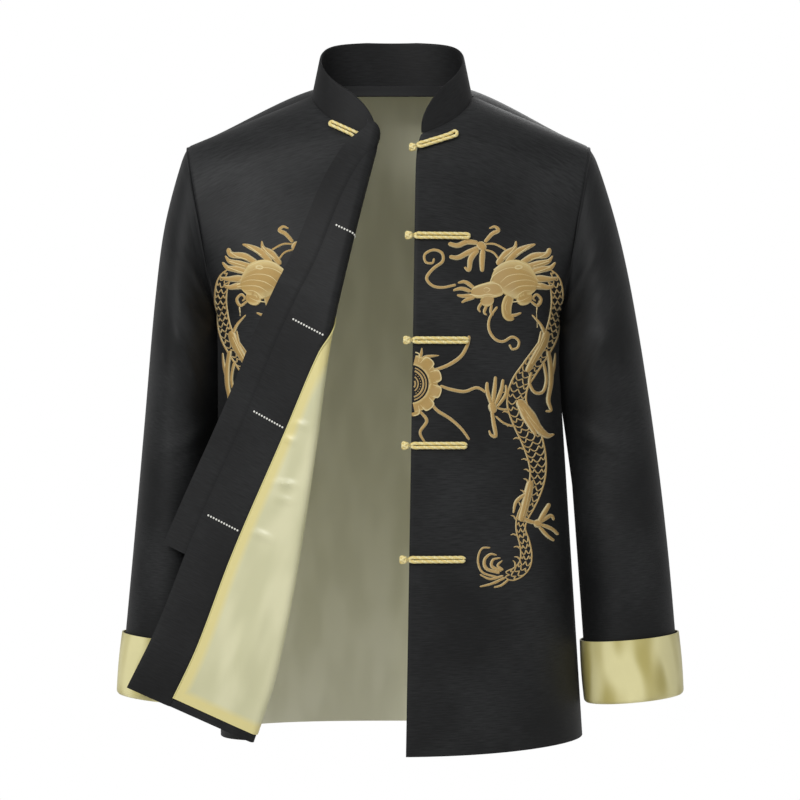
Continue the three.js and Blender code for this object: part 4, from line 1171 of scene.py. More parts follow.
def sweeping_tree():
    numbers = {"Step": 1.0 * MM, "Sides": 8, "Lobes": 0, "Lobe Depth": 0.0, "Turns per Metre": 0.0}
    tree, given = new_tree("sweep_along_line", numbers)
    line = add(tree, "GeometryNodeMeshToCurve", {"Mesh": given["Geometry"]})
    width = add(tree, "GeometryNodeInputNamedAttribute", {"Name": "half_width"}, data_type="FLOAT")
    even = add(
        tree,
        "GeometryNodeResampleCurve",
        {"Curve": line.outputs["Curve"], "Length": given["Step"]},
        mode="LENGTH",
    )
    level = add(tree, "GeometryNodeSetCurveNormal", {"Curve": even.outputs["Curve"]}, mode="Z_UP")
    place = add(tree, "GeometryNodeSplineParameter")
    turns = add(
        tree,
        "ShaderNodeMath",
        {0: place.outputs["Length"], 1: given["Turns per Metre"]},
        operation="MULTIPLY",
    )
    angle = add(
        tree, "ShaderNodeMath", {0: turns.outputs["Value"], 1: 2 * math.pi}, operation="MULTIPLY"
    )
    turned = add(
        tree,
        "GeometryNodeSetCurveTilt",
        {"Curve": level.outputs["Curve"], "Tilt": angle.outputs["Value"]},
    )
    measured = add(
        tree,
        "GeometryNodeStoreNamedAttribute",
        {"Geometry": turned.outputs["Curve"], "Name": "along", "Value": place.outputs["Length"]},
        data_type="FLOAT",
        domain="POINT",
    )
    ring = add(
        tree, "GeometryNodeCurvePrimitiveCircle", {"Resolution": given["Sides"], "Radius": 1.0}
    )
    ring_share = add(tree, "GeometryNodeSplineParameter")
    lobe_phase = add(
        tree,
        "ShaderNodeMath",
        {0: ring_share.outputs["Factor"], 1: given["Lobes"]},
        operation="MULTIPLY",
    )
    lobe_angle = add(
        tree, "ShaderNodeMath", {0: lobe_phase.outputs["Value"], 1: 2 * math.pi}, operation="MULTIPLY"
    )
    lobe = add(tree, "ShaderNodeMath", {0: lobe_angle.outputs["Value"]}, operation="COSINE")
    reach = add(
        tree,
        "ShaderNodeMath",
        {0: lobe.outputs["Value"], 1: given["Lobe Depth"], 2: 1.0},
        operation="MULTIPLY_ADD",
    )
    here = add(tree, "GeometryNodeInputPosition")
    scaled = add(
        tree,
        "ShaderNodeVectorMath",
        {0: here.outputs["Position"], "Scale": reach.outputs["Value"]},
        operation="SCALE",
    )
    lobed = add(
        tree,
        "GeometryNodeSetPosition",
        {"Geometry": ring.outputs["Curve"], "Position": scaled.outputs["Vector"]},
    )
    sideways = add(tree, "ShaderNodeSeparateXYZ", {"Vector": here.outputs["Position"]})  # X lies level
    profile = add(
        tree,
        "GeometryNodeStoreNamedAttribute",
        {"Geometry": lobed.outputs["Geometry"], "Name": "across", "Value": sideways.outputs["X"]},
        data_type="FLOAT",
        domain="POINT",
    )
    swept = add(
        tree,
        "GeometryNodeCurveToMesh",
        {
            "Curve": measured.outputs["Geometry"],
            "Profile Curve": profile.outputs["Geometry"],
            "Scale": width.outputs["Attribute"],
            "Fill Caps": True,
        },
    )
    real = add(tree, "GeometryNodeRealizeInstances", {"Geometry": swept.outputs["Mesh"]})
    finished = add(
        tree,
        "GeometryNodeSetMaterial",
        {"Geometry": real.outputs["Geometry"], "Material": given["Finish"]},
    )
    add(tree, "NodeGroupOutput", {"Geometry": finished.outputs["Geometry"]})
    return tree


SWEEP = sweeping_tree()
print("sweeping tree:", len(SWEEP.nodes), "nodes")


# %% Lines in, pieces out
def smooth_line(points, closed=False, per_span=8):
    """A Catmull-Rom line through points of any number of columns."""
    p = np.array(points, float)
    ends = (p[-1:], p[:2]) if closed else (2 * p[:1] - p[1:2], 2 * p[-1:] - p[-2:-1])
    q = np.concatenate([ends[0], p, ends[1]])
    t = np.linspace(0, 1, per_span, endpoint=False)[:, None]
    spans = []
    for a, b, c, d in zip(q, q[1:], q[2:], q[3:]):
        spans.append(
            0.5 * (2 * b + (c - a) * t + (2 * a - 5 * b + 4 * c - d) * t**2 + (3 * b - a - 3 * c + d) * t**3)
        )
    line = np.concatenate(spans)
    return line if closed else np.concatenate([line, p[-1:]])


def line_mesh(name, lines, closed=False):
    """A mesh of chained edges from lines of (x, y, z, half width) in millimetres."""
    points = np.concatenate(lines)
    edges, first = [], 0
    for line in lines:
        last = first + len(line)
        edges += [(i, i + 1) for i in range(first, last - 1)]
        edges += [(last - 1, first)] if closed else []
        first = last
    mesh = bpy.data.meshes.new(name)
    mesh.from_pydata((points[:, :3] * MM).tolist(), edges, [])
    widths = mesh.attributes.new("half_width", "FLOAT", "POINT")
    widths.data.foreach_set("value", (np.maximum(points[:, 3], 0.05) * MM).astype(np.float32))
    return mesh


def grow(name, mesh, tree, finish, **inputs):
    """Runs a tree on a mesh and keeps the result as a plain mesh object."""
    carrier = bpy.data.objects.new(name + "_line", mesh)
    bpy.context.collection.objects.link(carrier)
    modifier = carrier.modifiers.new("nodes", "NODES")
    modifier.node_group = tree
    sockets = {s.name: s.identifier for s in tree.interface.items_tree if s.in_out == "INPUT"}
    modifier[sockets["Finish"]] = finish
    for key, value in inputs.items():
        modifier[sockets[key.replace("_", " ")]] = value
    seen_now = carrier.evaluated_get(bpy.context.evaluated_depsgraph_get())
    made = bpy.data.meshes.new_from_object(seen_now)
    carrier.modifiers.clear()
    bpy.data.objects.remove(carrier)
    made.name = name
    made.polygons.foreach_set("use_smooth", [True] * len(made.polygons))
    piece = bpy.data.objects.new(name, made)
    bpy.context.collection.objects.link(piece)
    return piece


def keep(piece, node=None):
    """Rides on the jacket's one body, and hides the CAD node it stands for, if one is given."""
    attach(piece, "root")
    if node:
        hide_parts(node)
    return piece


# %% [markdown]
# ### Laying things on the cloth
# Frogs and embroidery are drawn flat, as seen from the front, and then pressed onto the cloth: each point
# is pushed straight back until it meets the panel, and stands off it by its own height. So they follow
# every crease.

# %% Laying on a panel
def cloth_tree(grid):
    rows, columns = grid.shape[:2]
    index = np.arange(rows * columns).reshape(rows, columns)
    a, b, c, d = index[:-1, :-1], index[:-1, 1:], index[1:, 1:], index[1:, :-1]
    squares = np.stack([a, b, c, d], -1).reshape(-1, 4)
    return BVHTree.FromPolygons(grid.reshape(-1, 3).tolist(), squares.tolist())


def lay_on(tree, flat):
    """flat holds (x, height off the cloth, z); the result is where that lies on the cloth."""
    laid = []
    for x, height, z in flat:
        hit, normal, _, _ = tree.ray_cast(Vector((x, -400, z)), Vector((0, 1, 0)))
        if hit is None:
            hit, normal, _, _ = tree.find_nearest(Vector((x, -110, z)))
        if normal.y > 0:
            normal = -normal
        laid.append(hit + normal * height)
    return np.array(laid)


LEFT_PANEL = cloth_tree(left_face)
body_columns = right_points.copy()
body_columns[past_fold > 2] = np.nan


def flat_row(row):
    """A row of the right front's body, its folded-over places filled with the first point that isn't."""
    over = np.isnan(row[:, 0])
    return np.concatenate([np.repeat(row[~over][:1], over.sum(), 0), row[~over]])


RIGHT_PANEL = cloth_tree(np.array([flat_row(row) for row in body_columns]))

# %% [markdown]
# ## Frogs and knots
# A frog is one satin cord folded in two and sewn down flat, so two strands lie side by side. On the left
# front its end is tied into a ball knot, and on the right front it makes a loop. The cord is plied: its
# profile has three lobes that turn along it.

# %% Frogs
CORD_RADIUS = 1.8
STRAND = CORD_RADIUS + 0.25
FROG_LENGTH = {LEFT: 58, RIGHT: 44}
FROG_HEIGHTS = (-156, -267, -378, -498)
FROG_CLEAR, NECK_FROG_CLEAR = 0.6, 1.4
NECK_FROG = {LEFT: (52, -57, 19), RIGHT: (60, -54, 26)}  # length, starting height, slope in degrees
NECK_FROG_SCALE = 0.85
CORD_LOOK = {"Step": 0.8 * MM, "Sides": 15, "Lobes": 3, "Lobe_Depth": 0.07, "Turns_per_Metre": 60.0}


def frog_outline(length, end):
    strand = np.linspace(end[0], length - 3, 8)
    bend = np.radians([60, 30, 0, -30, -60])
    far = [(length - 3 + (STRAND + 0.6) * math.cos(a), STRAND * 1.05 * math.sin(a)) for a in bend]
    upper = [(q, STRAND) for q in strand]
    lower = [(q, -STRAND) for q in strand[::-1]]
    return upper + far + lower + end[1]


KNOT_END = (3, [(0, 0)])
LOOP_END = (2, [(-4, -4.6), (-10, -4.2), (-13, 0), (-10, 4.2), (-4, 4.6)])
TUCKED_END = (8, [(6, 0)])


def cord_piece(name, node, points):
    line = smooth_line([(*p, CORD_RADIUS) for p in points], closed=True, per_span=5)
    piece = grow(name, line_mesh(name, [line], closed=True), SWEEP, CREAM_CORD, **CORD_LOOK)
    return keep(piece, node)


def level_frog(number, z):
    outline = frog_outline(FROG_LENGTH[LEFT], KNOT_END)
    flat = [(left_edge_x(z) + max(q, 0.5), CORD_RADIUS + FROG_CLEAR, z + h) for q, h in outline]
    cord_piece(f"left_frog_cord_{number}", f"left_frog_{number}", lay_on(LEFT_PANEL, flat))


def neck_frog(side, panel, end, name, node):
    length, z, slope = NECK_FROG[side]
    a = math.radians(slope)
    x = left_edge_x(z) if side == LEFT else -fold_x(z)
    flat = []
    for q, h in frog_outline(length, end):
        run = q * NECK_FROG_SCALE
        place_x = x + side * (run * math.cos(a) - h * math.sin(a))
        flat.append((place_x, CORD_RADIUS + NECK_FROG_CLEAR, z + run * math.sin(a) + h * math.cos(a)))
    cord_piece(name, node, lay_on(panel, flat))


def hidden_frog(number, z):
    """A loop frog on the face of the folded-back flap, between it and the body."""
    points = []
    for q, h in frog_outline(FROG_LENGTH[RIGHT], LOOP_END):
        v = row_at_height(RIGHT, z + h)
        inner = max(q, 1)
        here, further = right_row(v, np.array([inner, inner + 1]))
        above = right_row(v + 0.003, np.array([inner]))[0]
        out = unit(np.cross(above - here, further - here))
        points.append(here + out * (CORD_RADIUS + FROG_CLEAR) + (further - here) * (q - inner))
    cord_piece(f"right_frog_cord_{number}", f"right_frog_{number}", np.array(points))


neck_frog(LEFT, LEFT_PANEL, KNOT_END, "left_frog_cord_1", "left_frog_1")
neck_frog(RIGHT, RIGHT_PANEL, TUCKED_END, "right_frog_cord_1", "right_frog_1")
for number, z in enumerate(FROG_HEIGHTS, 2):
    level_frog(number, z)
    hidden_frog(number, z)

# %% [markdown]
# ### Ball knots
# The button is a woven ball, which is a flat knot of three leads and four loops drawn up tight. Its line is
# a closed curve that goes three times round the ball while it swings up and down four times, and it dips
# under itself at each crossing.

# %% Knots
KNOT_RADIUS = 4.6
KNOT_CORD = 1.5
KNOT_LATITUDE, KNOT_WEAVE = 56, 0.55
SHANK_CORD, SHANK_SPREAD, SHANK_INSET = 1.1, 0.8, 3
NECK_SHANK = (5, 4)  # how far behind and above the neck frog's lowest corner its shank starts


def knot(number):
    low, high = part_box(f"left_knot_{number}")
    centre = (np.array(low) + np.array(high)) / 2 / MM
    t = np.linspace(0, 2 * math.pi, 120, endpoint=False)
    latitude = math.radians(KNOT_LATITUDE) * np.cos(4 * t)
    radius = KNOT_RADIUS - KNOT_CORD + KNOT_WEAVE * np.sin(8 * t)
    line = np.stack(
        [
            centre[0] + radius * np.sin(latitude),
            centre[1] + radius * np.cos(latitude) * np.cos(3 * t),
            centre[2] + radius * np.cos(latitude) * np.sin(3 * t),
            np.full_like(t, KNOT_CORD),
        ],
        1,
    )
    frog_low, frog_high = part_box(f"left_frog_{number}")
    start = np.array([frog_low[0] / MM + SHANK_INSET, (frog_low[1] + frog_high[1]) / 2 / MM, centre[2]])
    if number == 1:
        start[1] = frog_low[1] / MM + NECK_SHANK[0]
        start[2] = frog_low[2] / MM + NECK_SHANK[1]
    away = np.linspace(0, 1, 9)[:, None]
    out, home = mix(centre, start, away), mix(start, centre, away)
    shank = np.concatenate([out + [0, 0, SHANK_SPREAD], home - [0, 0, SHANK_SPREAD]])
    shank = np.column_stack([shank, np.full(len(shank), SHANK_CORD)])
    name = f"left_ball_knot_{number}"
    lines = [line, shank]
    piece = grow(name, line_mesh(name, lines, closed=True), SWEEP, CREAM_CORD, Sides=10, Step=0.7 * MM)
    keep(piece, f"left_knot_{number}")


for number in range(1, 6):
    knot(number)
print("frogs and knots made")

# %% [markdown]
# ## Piping and prick stitches
# A fine yellow piping runs between the facing and the lining. Where a frog is sewn on from the other side,
# its stitches come through the facing as a row of short pale pricks. One tree sets a small stitch at even
# steps along each line.

# %% Piping
piping_rows = ABOVE_TURNING & (RIGHT_V < row_at_height(RIGHT, -70))
piping_line = (
    right_points[piping_rows][:, FACING_EDGE]
    - right_normals[piping_rows][:, FACING_EDGE] * (first + FACING_THICKNESS + 0.1)
)
piping_line = np.column_stack([piping_line, np.full(len(piping_line), 0.75)])
piping = grow(
    "right_lining_piping", line_mesh("right_lining_piping", [piping_line]), SWEEP, PIPING, Step=1.5 * MM
)
keep(piping)


# %% Prick stitches
def stitch_tree():
    sizes = {"Pitch": 3.3 * MM, "Width": 1.15 * MM, "Length": 0.75 * MM}
    tree, given = new_tree("stitches_along_line", sizes)
    line = add(tree, "GeometryNodeMeshToCurve", {"Mesh": given["Geometry"]})
    spots = add(
        tree,
        "GeometryNodeCurveToPoints",
        {"Curve": line.outputs["Curve"], "Length": given["Pitch"]},
        mode="LENGTH",
    )
    ball = add(tree, "GeometryNodeMeshUVSphere", {"Segments": 8, "Rings": 6, "Radius": 1.0})
    size = add(
        tree,
        "ShaderNodeCombineXYZ",
        {"X": given["Length"], "Y": given["Width"], "Z": given["Width"]},
    )
    set_down = add(
        tree,
        "GeometryNodeInstanceOnPoints",
        {
            "Points": spots.outputs["Points"],
            "Instance": ball.outputs["Mesh"],
            "Rotation": spots.outputs["Rotation"],
            "Scale": size.outputs["Vector"],
        },
    )
    real = add(tree, "GeometryNodeRealizeInstances", {"Geometry": set_down.outputs["Instances"]})
    finished = add(
        tree,
        "GeometryNodeSetMaterial",
        {"Geometry": real.outputs["Geometry"], "Material": given["Finish"]},
    )
    add(tree, "NodeGroupOutput", {"Geometry": finished.outputs["Geometry"]})
    return tree


STITCH_SPAN = (8, 45)  # distances from the front edge, past the facing's pressed seam
STITCH_LIFT = 0.35
stitch_lines = []
for z in FROG_HEIGHTS:
    q = np.linspace(*STITCH_SPAN, 12)
    v = row_at_height(RIGHT, z)
    here, above, further = right_row(v, q), right_row(v + 0.003, q), right_row(v, q + 1)
    out = unit(np.cross(above - here, further - here))
    line = here - out * (first + FACING_THICKNESS + STITCH_LIFT)
    stitch_lines.append(np.column_stack([line, np.ones(len(line))]))
stitches = grow(
    "right_facing_prick_stitches", line_mesh("pricks", stitch_lines), stitch_tree(), PALE_THREAD
)
keep(stitches)
print("prick stitches:", len(stitches.data.polygons), "faces")

# %% [markdown]
# ## Embroidery
# Each front carries a dragon of like size and place in gold thread, and the left front also has a half
# flower at its edge. Every stitched shape is a stroke: a line through a few places, with a half width that
# grows and then tapers. The sweeping tree gives it body, it is flattened to a padded satin stitch, and it
# is laid on the cloth.

# %% Stroke tools
PADDING = 1.5  # how far the fullest stitching stands off the cloth


def evened(line, step=0.8):
    """The same line in even steps, with its half width rounded off at both ends."""
    run = np.concatenate([[0], np.cumsum(np.linalg.norm(np.diff(line[:, :3], axis=0), axis=1))])
    at = np.linspace(0, run[-1], max(3, int(run[-1] / step) + 1))
    even = np.stack([np.interp(at, run, line[:, k]) for k in range(4)], 1)
    from_end = np.minimum(at, run[-1] - at) + 0.15
    left = np.clip(1 - from_end / np.maximum(even[:, 3], 0.1), 0, 1)
    even[:, 3] *= np.sqrt(1 - left**2)
    return even


def mass(*places):
    """A filled shape: a line through flat places (x, z) with the half width given at each."""
    return evened(smooth_line([(x, 0, z, width) for x, z, width in places]))


def stroke(width, tip, *places):
    """A line through flat places (x, z); its half width swells to width and ends at tip."""
    line = smooth_line([(x, 0, z, 0) for x, z in places])
    t = np.linspace(0, 1, len(line))
    line[:, 3] = np.interp(t, [0, 0.3, 0.65, 1], [0.8 * width, width, mix(width, tip, 0.4), tip])
    return evened(line)


def parts_kept(lines, keeps):
    """The runs of each line whose places are kept."""
    for line in lines:
        inside = np.array([keeps(x, z) for x, _, z, _ in line])
        ends = np.flatnonzero(np.diff(np.concatenate([[0], inside.astype(int), [0]])))
        for start, stop in zip(ends[::2], ends[1::2]):
            if stop - start > 2:
                yield line[start:stop]


def embroider(name, lines, panel, keeps, finish, base=0.0, padding=PADDING, sides=8):
    """Sweeps the strokes lying flat, squeezes their height and lays them on a panel, base above it."""
    kept = [line[:, [0, 2, 1, 3]] for line in parts_kept(lines, keeps)]
    piece = grow(name, line_mesh(name, kept), SWEEP, finish, Step=1.1 * MM, Sides=sides)
    flat = np.array([v.co for v in piece.data.vertices]) / MM
    height = padding * (1 - np.exp(-np.maximum(flat[:, 2], 0) / 1.1))
    height = base + np.where(flat[:, 2] < 0, -0.15, height)
    laid = lay_on(panel, np.stack([flat[:, 0], height, flat[:, 1]], 1)) * MM
    piece.data.vertices.foreach_set("co", laid.astype(np.float32).ravel())
    piece.data.update()
    keep(piece)
    print(f"{name}: {len(kept)} strokes, {len(piece.data.polygons)} faces")


# %% The dragon
SPINE = [  # x, z and half width down the body
    (164, -192, 5), (175, -202, 6.5), (179, -222, 7), (177, -244, 7.5), (171, -262, 8), (160, -279, 8.5),
    (147, -297, 9), (136, -314, 9.5), (133, -333, 10.5), (140, -352, 11.5), (149, -371, 11.5),
    (155, -392, 10), (156, -410, 8.5), (152, -426, 8), (146, -441, 7), (139, -455, 6), (137, -467, 5),
    (141, -481, 5.5), (143, -495, 6), (140, -507, 6.5), (129, -515, 6), (118, -514, 4.5),
]  # fmt: skip
SCALE_STEP, SCALE_REACH = 6.0, 4.4
SPUR_STEP, SPUR_LENGTH = 14, 7
SPURS_FROM, SPURS_TO = 150, 20  # distances from the two ends of the body


def spine_frame():
    line = smooth_line(SPINE, per_span=12)
    run = np.concatenate([[0], np.cumsum(np.linalg.norm(np.diff(line[:, :2], axis=0), axis=1))])

    def at(s):
        x, z, w = (np.interp(s, run, line[:, k]) for k in range(3))
        ahead = [np.interp(s + 1, run, line[:, k]) - np.interp(s - 1, run, line[:, k]) for k in range(2)]
        tangent = np.array(ahead) / np.hypot(*ahead)
        return np.array([x, z]), tangent, np.array([-tangent[1], tangent[0]]), w

    return run[-1], at


def dragon_body():
    length, at = spine_frame()
    lines = []
    for side in (-1, 1):
        edge = [at(s)[0] + at(s)[2] * at(s)[3] * side for s in np.arange(2, length - 2, 5)]
        lines.append(stroke(1.05, 0.7, *edge))
    for row, s in enumerate(np.arange(6, length - 6, SCALE_STEP)):
        place, tangent, across, width = at(s)
        joints = (-1, 0, 1) if row % 2 else (-1, -0.5, 0.5, 1)
        for a, b in zip(joints, joints[1:]):
            arc = []
            for t in np.linspace(0, 1, 5):
                reach = SCALE_REACH * math.sin(math.pi * t) * min(1, b - a + 0.3)
                arc.append(place + across * width * mix(a, b, t) * 0.94 + tangent * reach)
            lines.append(stroke(0.72, 0.6, *arc))
    for s in np.arange(SPURS_FROM, length - SPURS_TO, SPUR_STEP):
        place, tangent, across, width = at(s)
        root = place - across * width
        middle, tip = root - across * SPUR_LENGTH * 0.5, root - across * SPUR_LENGTH
        lines.append(stroke(1.0, 0.3, root + tangent * 3, middle, tip))
    return lines


HEAD_MASSES = [
    mass((106, -203, 7), (116, -201, 16), (130, -201, 21), (144, -205, 19), (156, -208, 9)),
    mass((134, -216, 12), (142, -220, 10), (150, -221, 5)),
    mass((120, -209, 9), (106, -213, 9), (94, -215, 7.5), (84, -217, 5.5)),
    mass((108, -222, 5.5), (100, -225, 6.5), (94, -226, 4)),
    mass((126, -218, 5), (122, -230, 5.5), (123, -241, 4.5), (130, -244, 2)),
]
HEAD = [
    stroke(2.2, 1, (120, -240), (130, -240), (138, -237)),
    stroke(2.4, 1.0, (88, -212), (78, -205), (70, -206)),
    stroke(2.4, 1.2, (84, -215), (74, -212), (65, -214)),
    stroke(2.4, 1.2, (86, -219), (76, -220), (69, -219)),
    stroke(2.2, 1.0, (88, -221), (79, -224), (74, -227)),
    stroke(1.8, 0.8, (96, -226), (92, -233), (94, -237)),
    stroke(1.8, 0.8, (101, -229), (98, -237), (101, -240)),
    stroke(1.7, 0.8, (106, -228), (105, -237), (108, -240)),
    stroke(1.8, 0.9, (148, -224), (156, -229), (160, -222), (155, -217), (151, -221), (154, -224)),
]
MANE = [
    stroke(4.0, 0.8, (112, -186), (122, -174), (131, -168), (133, -160)),
    stroke(4.2, 1.0, (122, -184), (134, -172), (146, -166), (154, -163)),
    stroke(4.0, 2.6, (138, -184), (152, -176), (166, -174), (170, -167)),
    stroke(4.0, 0.8, (142, -188), (158, -184), (168, -181), (173, -175)),
    stroke(4.0, 1.2, (146, -194), (160, -190), (170, -188), (176, -182)),
    stroke(4.2, 0.8, (146, -201), (160, -200), (170, -200), (179, -198)),
    stroke(4.0, 0.8, (148, -208), (160, -208), (168, -209), (175, -206)),
]
WHISKERS = [
    stroke(
        1.8, 1.2, (68, -208), (54, -211), (43, -209), (37, -201), (44, -191), (54, -183), (53, -174),
        (44, -171), (35, -176), (36, -184), (43, -185), (45, -180),
    ),
    stroke(
        1.7, 1.2, (112, -231), (104, -243), (103, -255), (109, -265), (118, -268), (128, -263), (135, -267),
        (134, -274), (128, -276), (125, -271),
    ),
]  # fmt: skip
LIMBS = [
    stroke(5.5, 5, (91, -163), (96, -167), (98, -171)),
    stroke(3.2, 2.4, (92, -163), (80, -162), (70, -166), (60, -164)),
    stroke(3.2, 2.2, (92, -168), (80, -174), (70, -179), (61, -178)),
    stroke(3.3, 1.2, (92, -170), (84, -180), (82, -192), (77, -189)),
    stroke(3.4, 2.2, (97, -170), (96, -182), (96, -194)),
    stroke(2.5, 1.0, (99, -162), (107, -153), (114, -149), (110, -145), (104, -147)),
    stroke(1.2, 1.2, (99, -164), (110, -164), (122, -170)),
    stroke(1.2, 1.2, (99, -170), (108, -173), (114, -180)),
    stroke(5.0, 4, (106, -332), (107, -338), (108, -344)),
    stroke(2.4, 1.6, (105, -334), (101, -320), (101, -311)),
    stroke(2.6, 1.6, (107, -333), (109, -317), (110, -305)),
    stroke(2.4, 1.6, (110, -334), (116, -320), (118, -308)),
    stroke(2.0, 1.4, (112, -337), (121, -324), (121, -314)),
    stroke(2.4, 1.0, (106, -342), (108, -355), (110, -368), (105, -367), (103, -362)),
    stroke(1.2, 1.2, (110, -338), (118, -340), (124, -340)),
    stroke(1.2, 1.2, (110, -347), (118, -354), (128, -358)),
    stroke(6.5, 1.0, (134, -330), (147, -346), (156, -360), (166, -368), (175, -367)),
    stroke(5.0, 1.5, (136, -334), (145, -352), (154, -368)),
    stroke(5.5, 3.0, (167, -256), (162, -270), (152, -286), (144, -300)),
    stroke(2.0, 0.8, (165, -262), (160, -250), (150, -239)),
    stroke(2.2, 0.8, (150, -292), (157, -272), (160, -256)),
    stroke(1.8, 1.8, (149, -300), (147, -312), (153, -322), (162, -321), (166, -308), (163, -290)),
    stroke(3.2, 1.0, (168, -277), (171, -295), (171, -312), (168, -330), (171, -341), (165, -342)),
    stroke(2.2, 0.8, (170, -310), (175, -294), (177, -279)),
    stroke(5.0, 4.0, (148, -416), (145, -430), (141, -445), (137, -459)),
    stroke(2.2, 1.0, (142, -430), (132, -438), (129, -450)),
    stroke(4.6, 4, (151, -460), (156, -462), (160, -463)),
    stroke(3.0, 2.4, (157, -460), (164, -449), (169, -441)),
    stroke(2.4, 1.4, (159, -460), (170, -454), (174, -459)),
    stroke(2.2, 1.6, (159, -463), (171, -468), (179, -475)),
    stroke(2.2, 1.6, (157, -465), (166, -475), (174, -481)),
    stroke(2.4, 2.0, (138, -455), (146, -459), (153, -461)),
]
TAIL = [
    stroke(1.3, 0.9, (114, -518), (96, -512), (91, -499), (95, -487), (104, -486)),
    stroke(2.0, 0.8, (114, -513), (100, -508), (98, -499), (104, -493), (111, -494)),
    stroke(1.9, 0.8, (116, -511), (106, -506), (107, -499), (115, -497)),
    stroke(1.6, 0.7, (118, -510), (112, -505), (117, -500)),
    stroke(1.5, 0.8, (118, -516), (104, -519), (93, -514)),
    stroke(1.6, 0.8, (120, -518), (106, -524), (93, -527)),
    stroke(1.4, 0.8, (124, -520), (116, -526), (108, -528)),
]
FUR = [
    stroke(0.8, 0.6, (108, -192), (118, -185), (132, -182), (148, -188)),
    stroke(0.7, 0.5, (104, -206), (108, -198), (122, -190), (138, -190), (152, -196)),
    stroke(0.7, 0.5, (114, -206), (124, -198), (140, -196), (157, -202)),
    stroke(0.7, 0.5, (118, -211), (130, -204), (146, -202), (160, -207)),
    stroke(0.7, 0.5, (124, -216), (136, -209), (150, -208), (160, -209)),
    stroke(0.7, 0.5, (130, -222), (140, -214), (152, -213)),
    stroke(0.7, 0.5, (128, -226), (138, -224), (148, -219)),
    stroke(0.8, 0.6, (86, -212), (96, -208), (107, -206), (115, -209), (118, -216)),
    stroke(0.8, 0.6, (82, -218), (92, -220), (102, -218), (112, -220)),
    stroke(0.7, 0.5, (96, -213), (100, -211), (104, -213), (100, -216), (96, -213)),
    stroke(0.9, 0.8, (130, -189), (134, -187), (139, -188), (134, -190.5), (130, -189)),
    stroke(0.6, 0.5, (123, -222), (120, -232), (123, -240)),
    stroke(0.6, 0.5, (118, -180), (127, -172), (132, -166)),
    stroke(0.6, 0.5, (132, -176), (142, -169), (148, -165)),
    stroke(0.6, 0.5, (148, -180), (160, -176), (167, -171)),
    stroke(0.6, 0.5, (150, -187), (162, -183), (168, -181)),
    stroke(0.6, 0.5, (152, -194), (163, -190), (170, -187)),
    stroke(0.6, 0.5, (138, -336), (148, -350), (160, -364)),
    stroke(0.6, 0.5, (164, -262), (157, -276), (148, -292)),
    stroke(0.6, 0.5, (147, -420), (144, -434), (139, -454)),
]

# %% The flower
FLOWER = (19, -313)
FLOWER_RINGS = ((6, 0.9), (9, 0.7), (14.5, 1.0), (17.5, 0.7), (21, 1.0))  # radius and half width
FLOWER_DOTS = (11.8, 26)  # radius and how many in a full round
PETAL_COUNT, PETAL_ROOT, PETAL_TIP = 11, 21, 34.5


def on_flower(radius, angle):
    return FLOWER[0] + radius * math.cos(angle), FLOWER[1] + radius * math.sin(angle)


def flower_rings():
    lines = []
    for radius, width in FLOWER_RINGS:
        lines.append(stroke(width, width, *[on_flower(radius, a) for a in np.linspace(-1.75, 1.75, 24)]))
    radius, count = FLOWER_DOTS
    for a in np.arange(count) * 2 * math.pi / count:
        lines.append(stroke(0.8, 0.8, *[on_flower(radius, a + turn) for turn in (-0.05, 0, 0.05)]))
    return lines


def petals():
    """The filled petals, and the light lines that lie on them."""
    filled, lines = [], []
    half = math.pi / PETAL_COUNT
    for side in (-1, 1):
        arc = [(*on_flower(PETAL_ROOT + 4.5, side * a), 5.5) for a in np.linspace(-0.05, 1.65, 12)]
        filled.append(mass(*arc))
    for petal in range(PETAL_COUNT):
        middle = (petal + 0.5) * 2 * half
        places = np.linspace(PETAL_ROOT - 1, PETAL_TIP, 5)
        filled.append(mass(*[(*on_flower(r, middle), 0.97 * r * math.tan(half) * 0.9) for r in places]))
        rim = []
        for t in np.linspace(-1, 1, 9):
            reach = mix(PETAL_ROOT + 3, PETAL_TIP - 0.8, math.sqrt(max(0, 1 - t**4)))
            rim.append(on_flower(reach, middle + 0.86 * t * half))
        lines.append(stroke(0.7, 0.6, *rim))
        for t in (-0.4, 0, 0.4):
            spoke = [on_flower(mix(PETAL_ROOT + 1, PETAL_TIP - 4, k), middle + t * half) for k in (0, 0.5, 1)]
            lines.append(stroke(0.5, 0.4, *spoke))
    return filled, lines


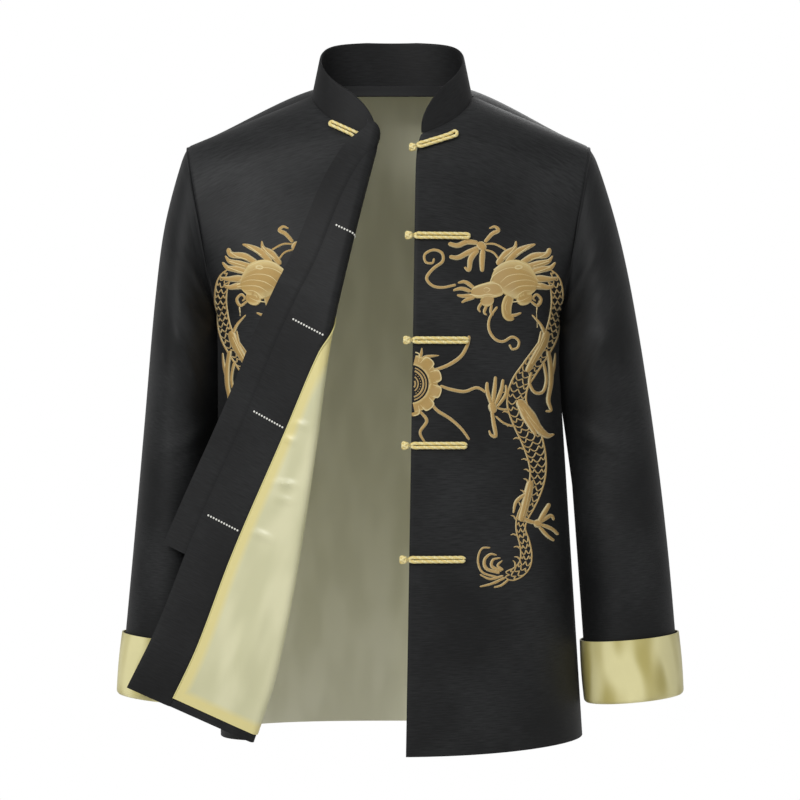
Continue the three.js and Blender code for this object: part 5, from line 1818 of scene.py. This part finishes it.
STREAMERS = [
    stroke(2.3, 0.6, (27, -288), (31, -282), (32, -275)),
    stroke(2.2, 0.5, (32, -286), (40, -284), (50, -283)),
    stroke(2.1, 1.7, (44, -299), (60, -293), (73, -284), (80, -272), (82, -262)),
    stroke(1.9, 1.5, (51, -315), (63, -319), (77, -321), (90, -317), (100, -322)),
    stroke(1.9, 1.4, (41, -332), (48, -341), (62, -350), (74, -361), (82, -372)),
    stroke(1.9, 1.2, (30, -342), (37, -352), (30, -364), (35, -375)),
]


# %% Embroidering the fronts
MIRROR_SHIFT = 6  # the right motif stands this much further out than the left one's mirror image
EDGE_MARGIN = 2.2
UNDER_FLAP = 9
RIGHT_MOTIF_END_Z = -345


def mirrored(lines):
    return [line * np.array([-1, 1, 1, 1]) - np.array([MIRROR_SHIFT, 0, 0, 0]) for line in lines]


def past_left_edge(x, z):
    return x > left_edge_x(z) + EDGE_MARGIN


def beside_flap(x, z):
    """Whether a place is on the right front's upper half and clear of the flap, or just under its edge."""
    return x < -fold_x(z) - flap_width(z) + UNDER_FLAP and z > RIGHT_MOTIF_END_Z


DRAGON = [*dragon_body(), *HEAD, *MANE, *WHISKERS, *LIMBS, *TAIL]
ON_TOP = {"base": PADDING - 0.3, "padding": 0.8}
for side, drawn, panel, keeps in (
    ("left", lambda lines: lines, LEFT_PANEL, past_left_edge),
    ("right", mirrored, RIGHT_PANEL, beside_flap),
):
    embroider(f"{side}_dragon_embroidery", drawn(DRAGON), panel, keeps, GOLD_THREAD)
    embroider(f"{side}_dragon_head", drawn(HEAD_MASSES), panel, keeps, GOLD_FILL, sides=32)
    embroider(f"{side}_dragon_fur", drawn(FUR), panel, keeps, GOLD_LIGHT, **ON_TOP)
filled, lines = petals()
embroider("left_flower_rings", [*flower_rings(), *STREAMERS], LEFT_PANEL, past_left_edge, GOLD_THREAD)
embroider("left_flower_petals", filled, LEFT_PANEL, past_left_edge, GOLD_FILL, sides=20)
embroider("left_flower_lines", lines, LEFT_PANEL, past_left_edge, GOLD_LIGHT, **ON_TOP)
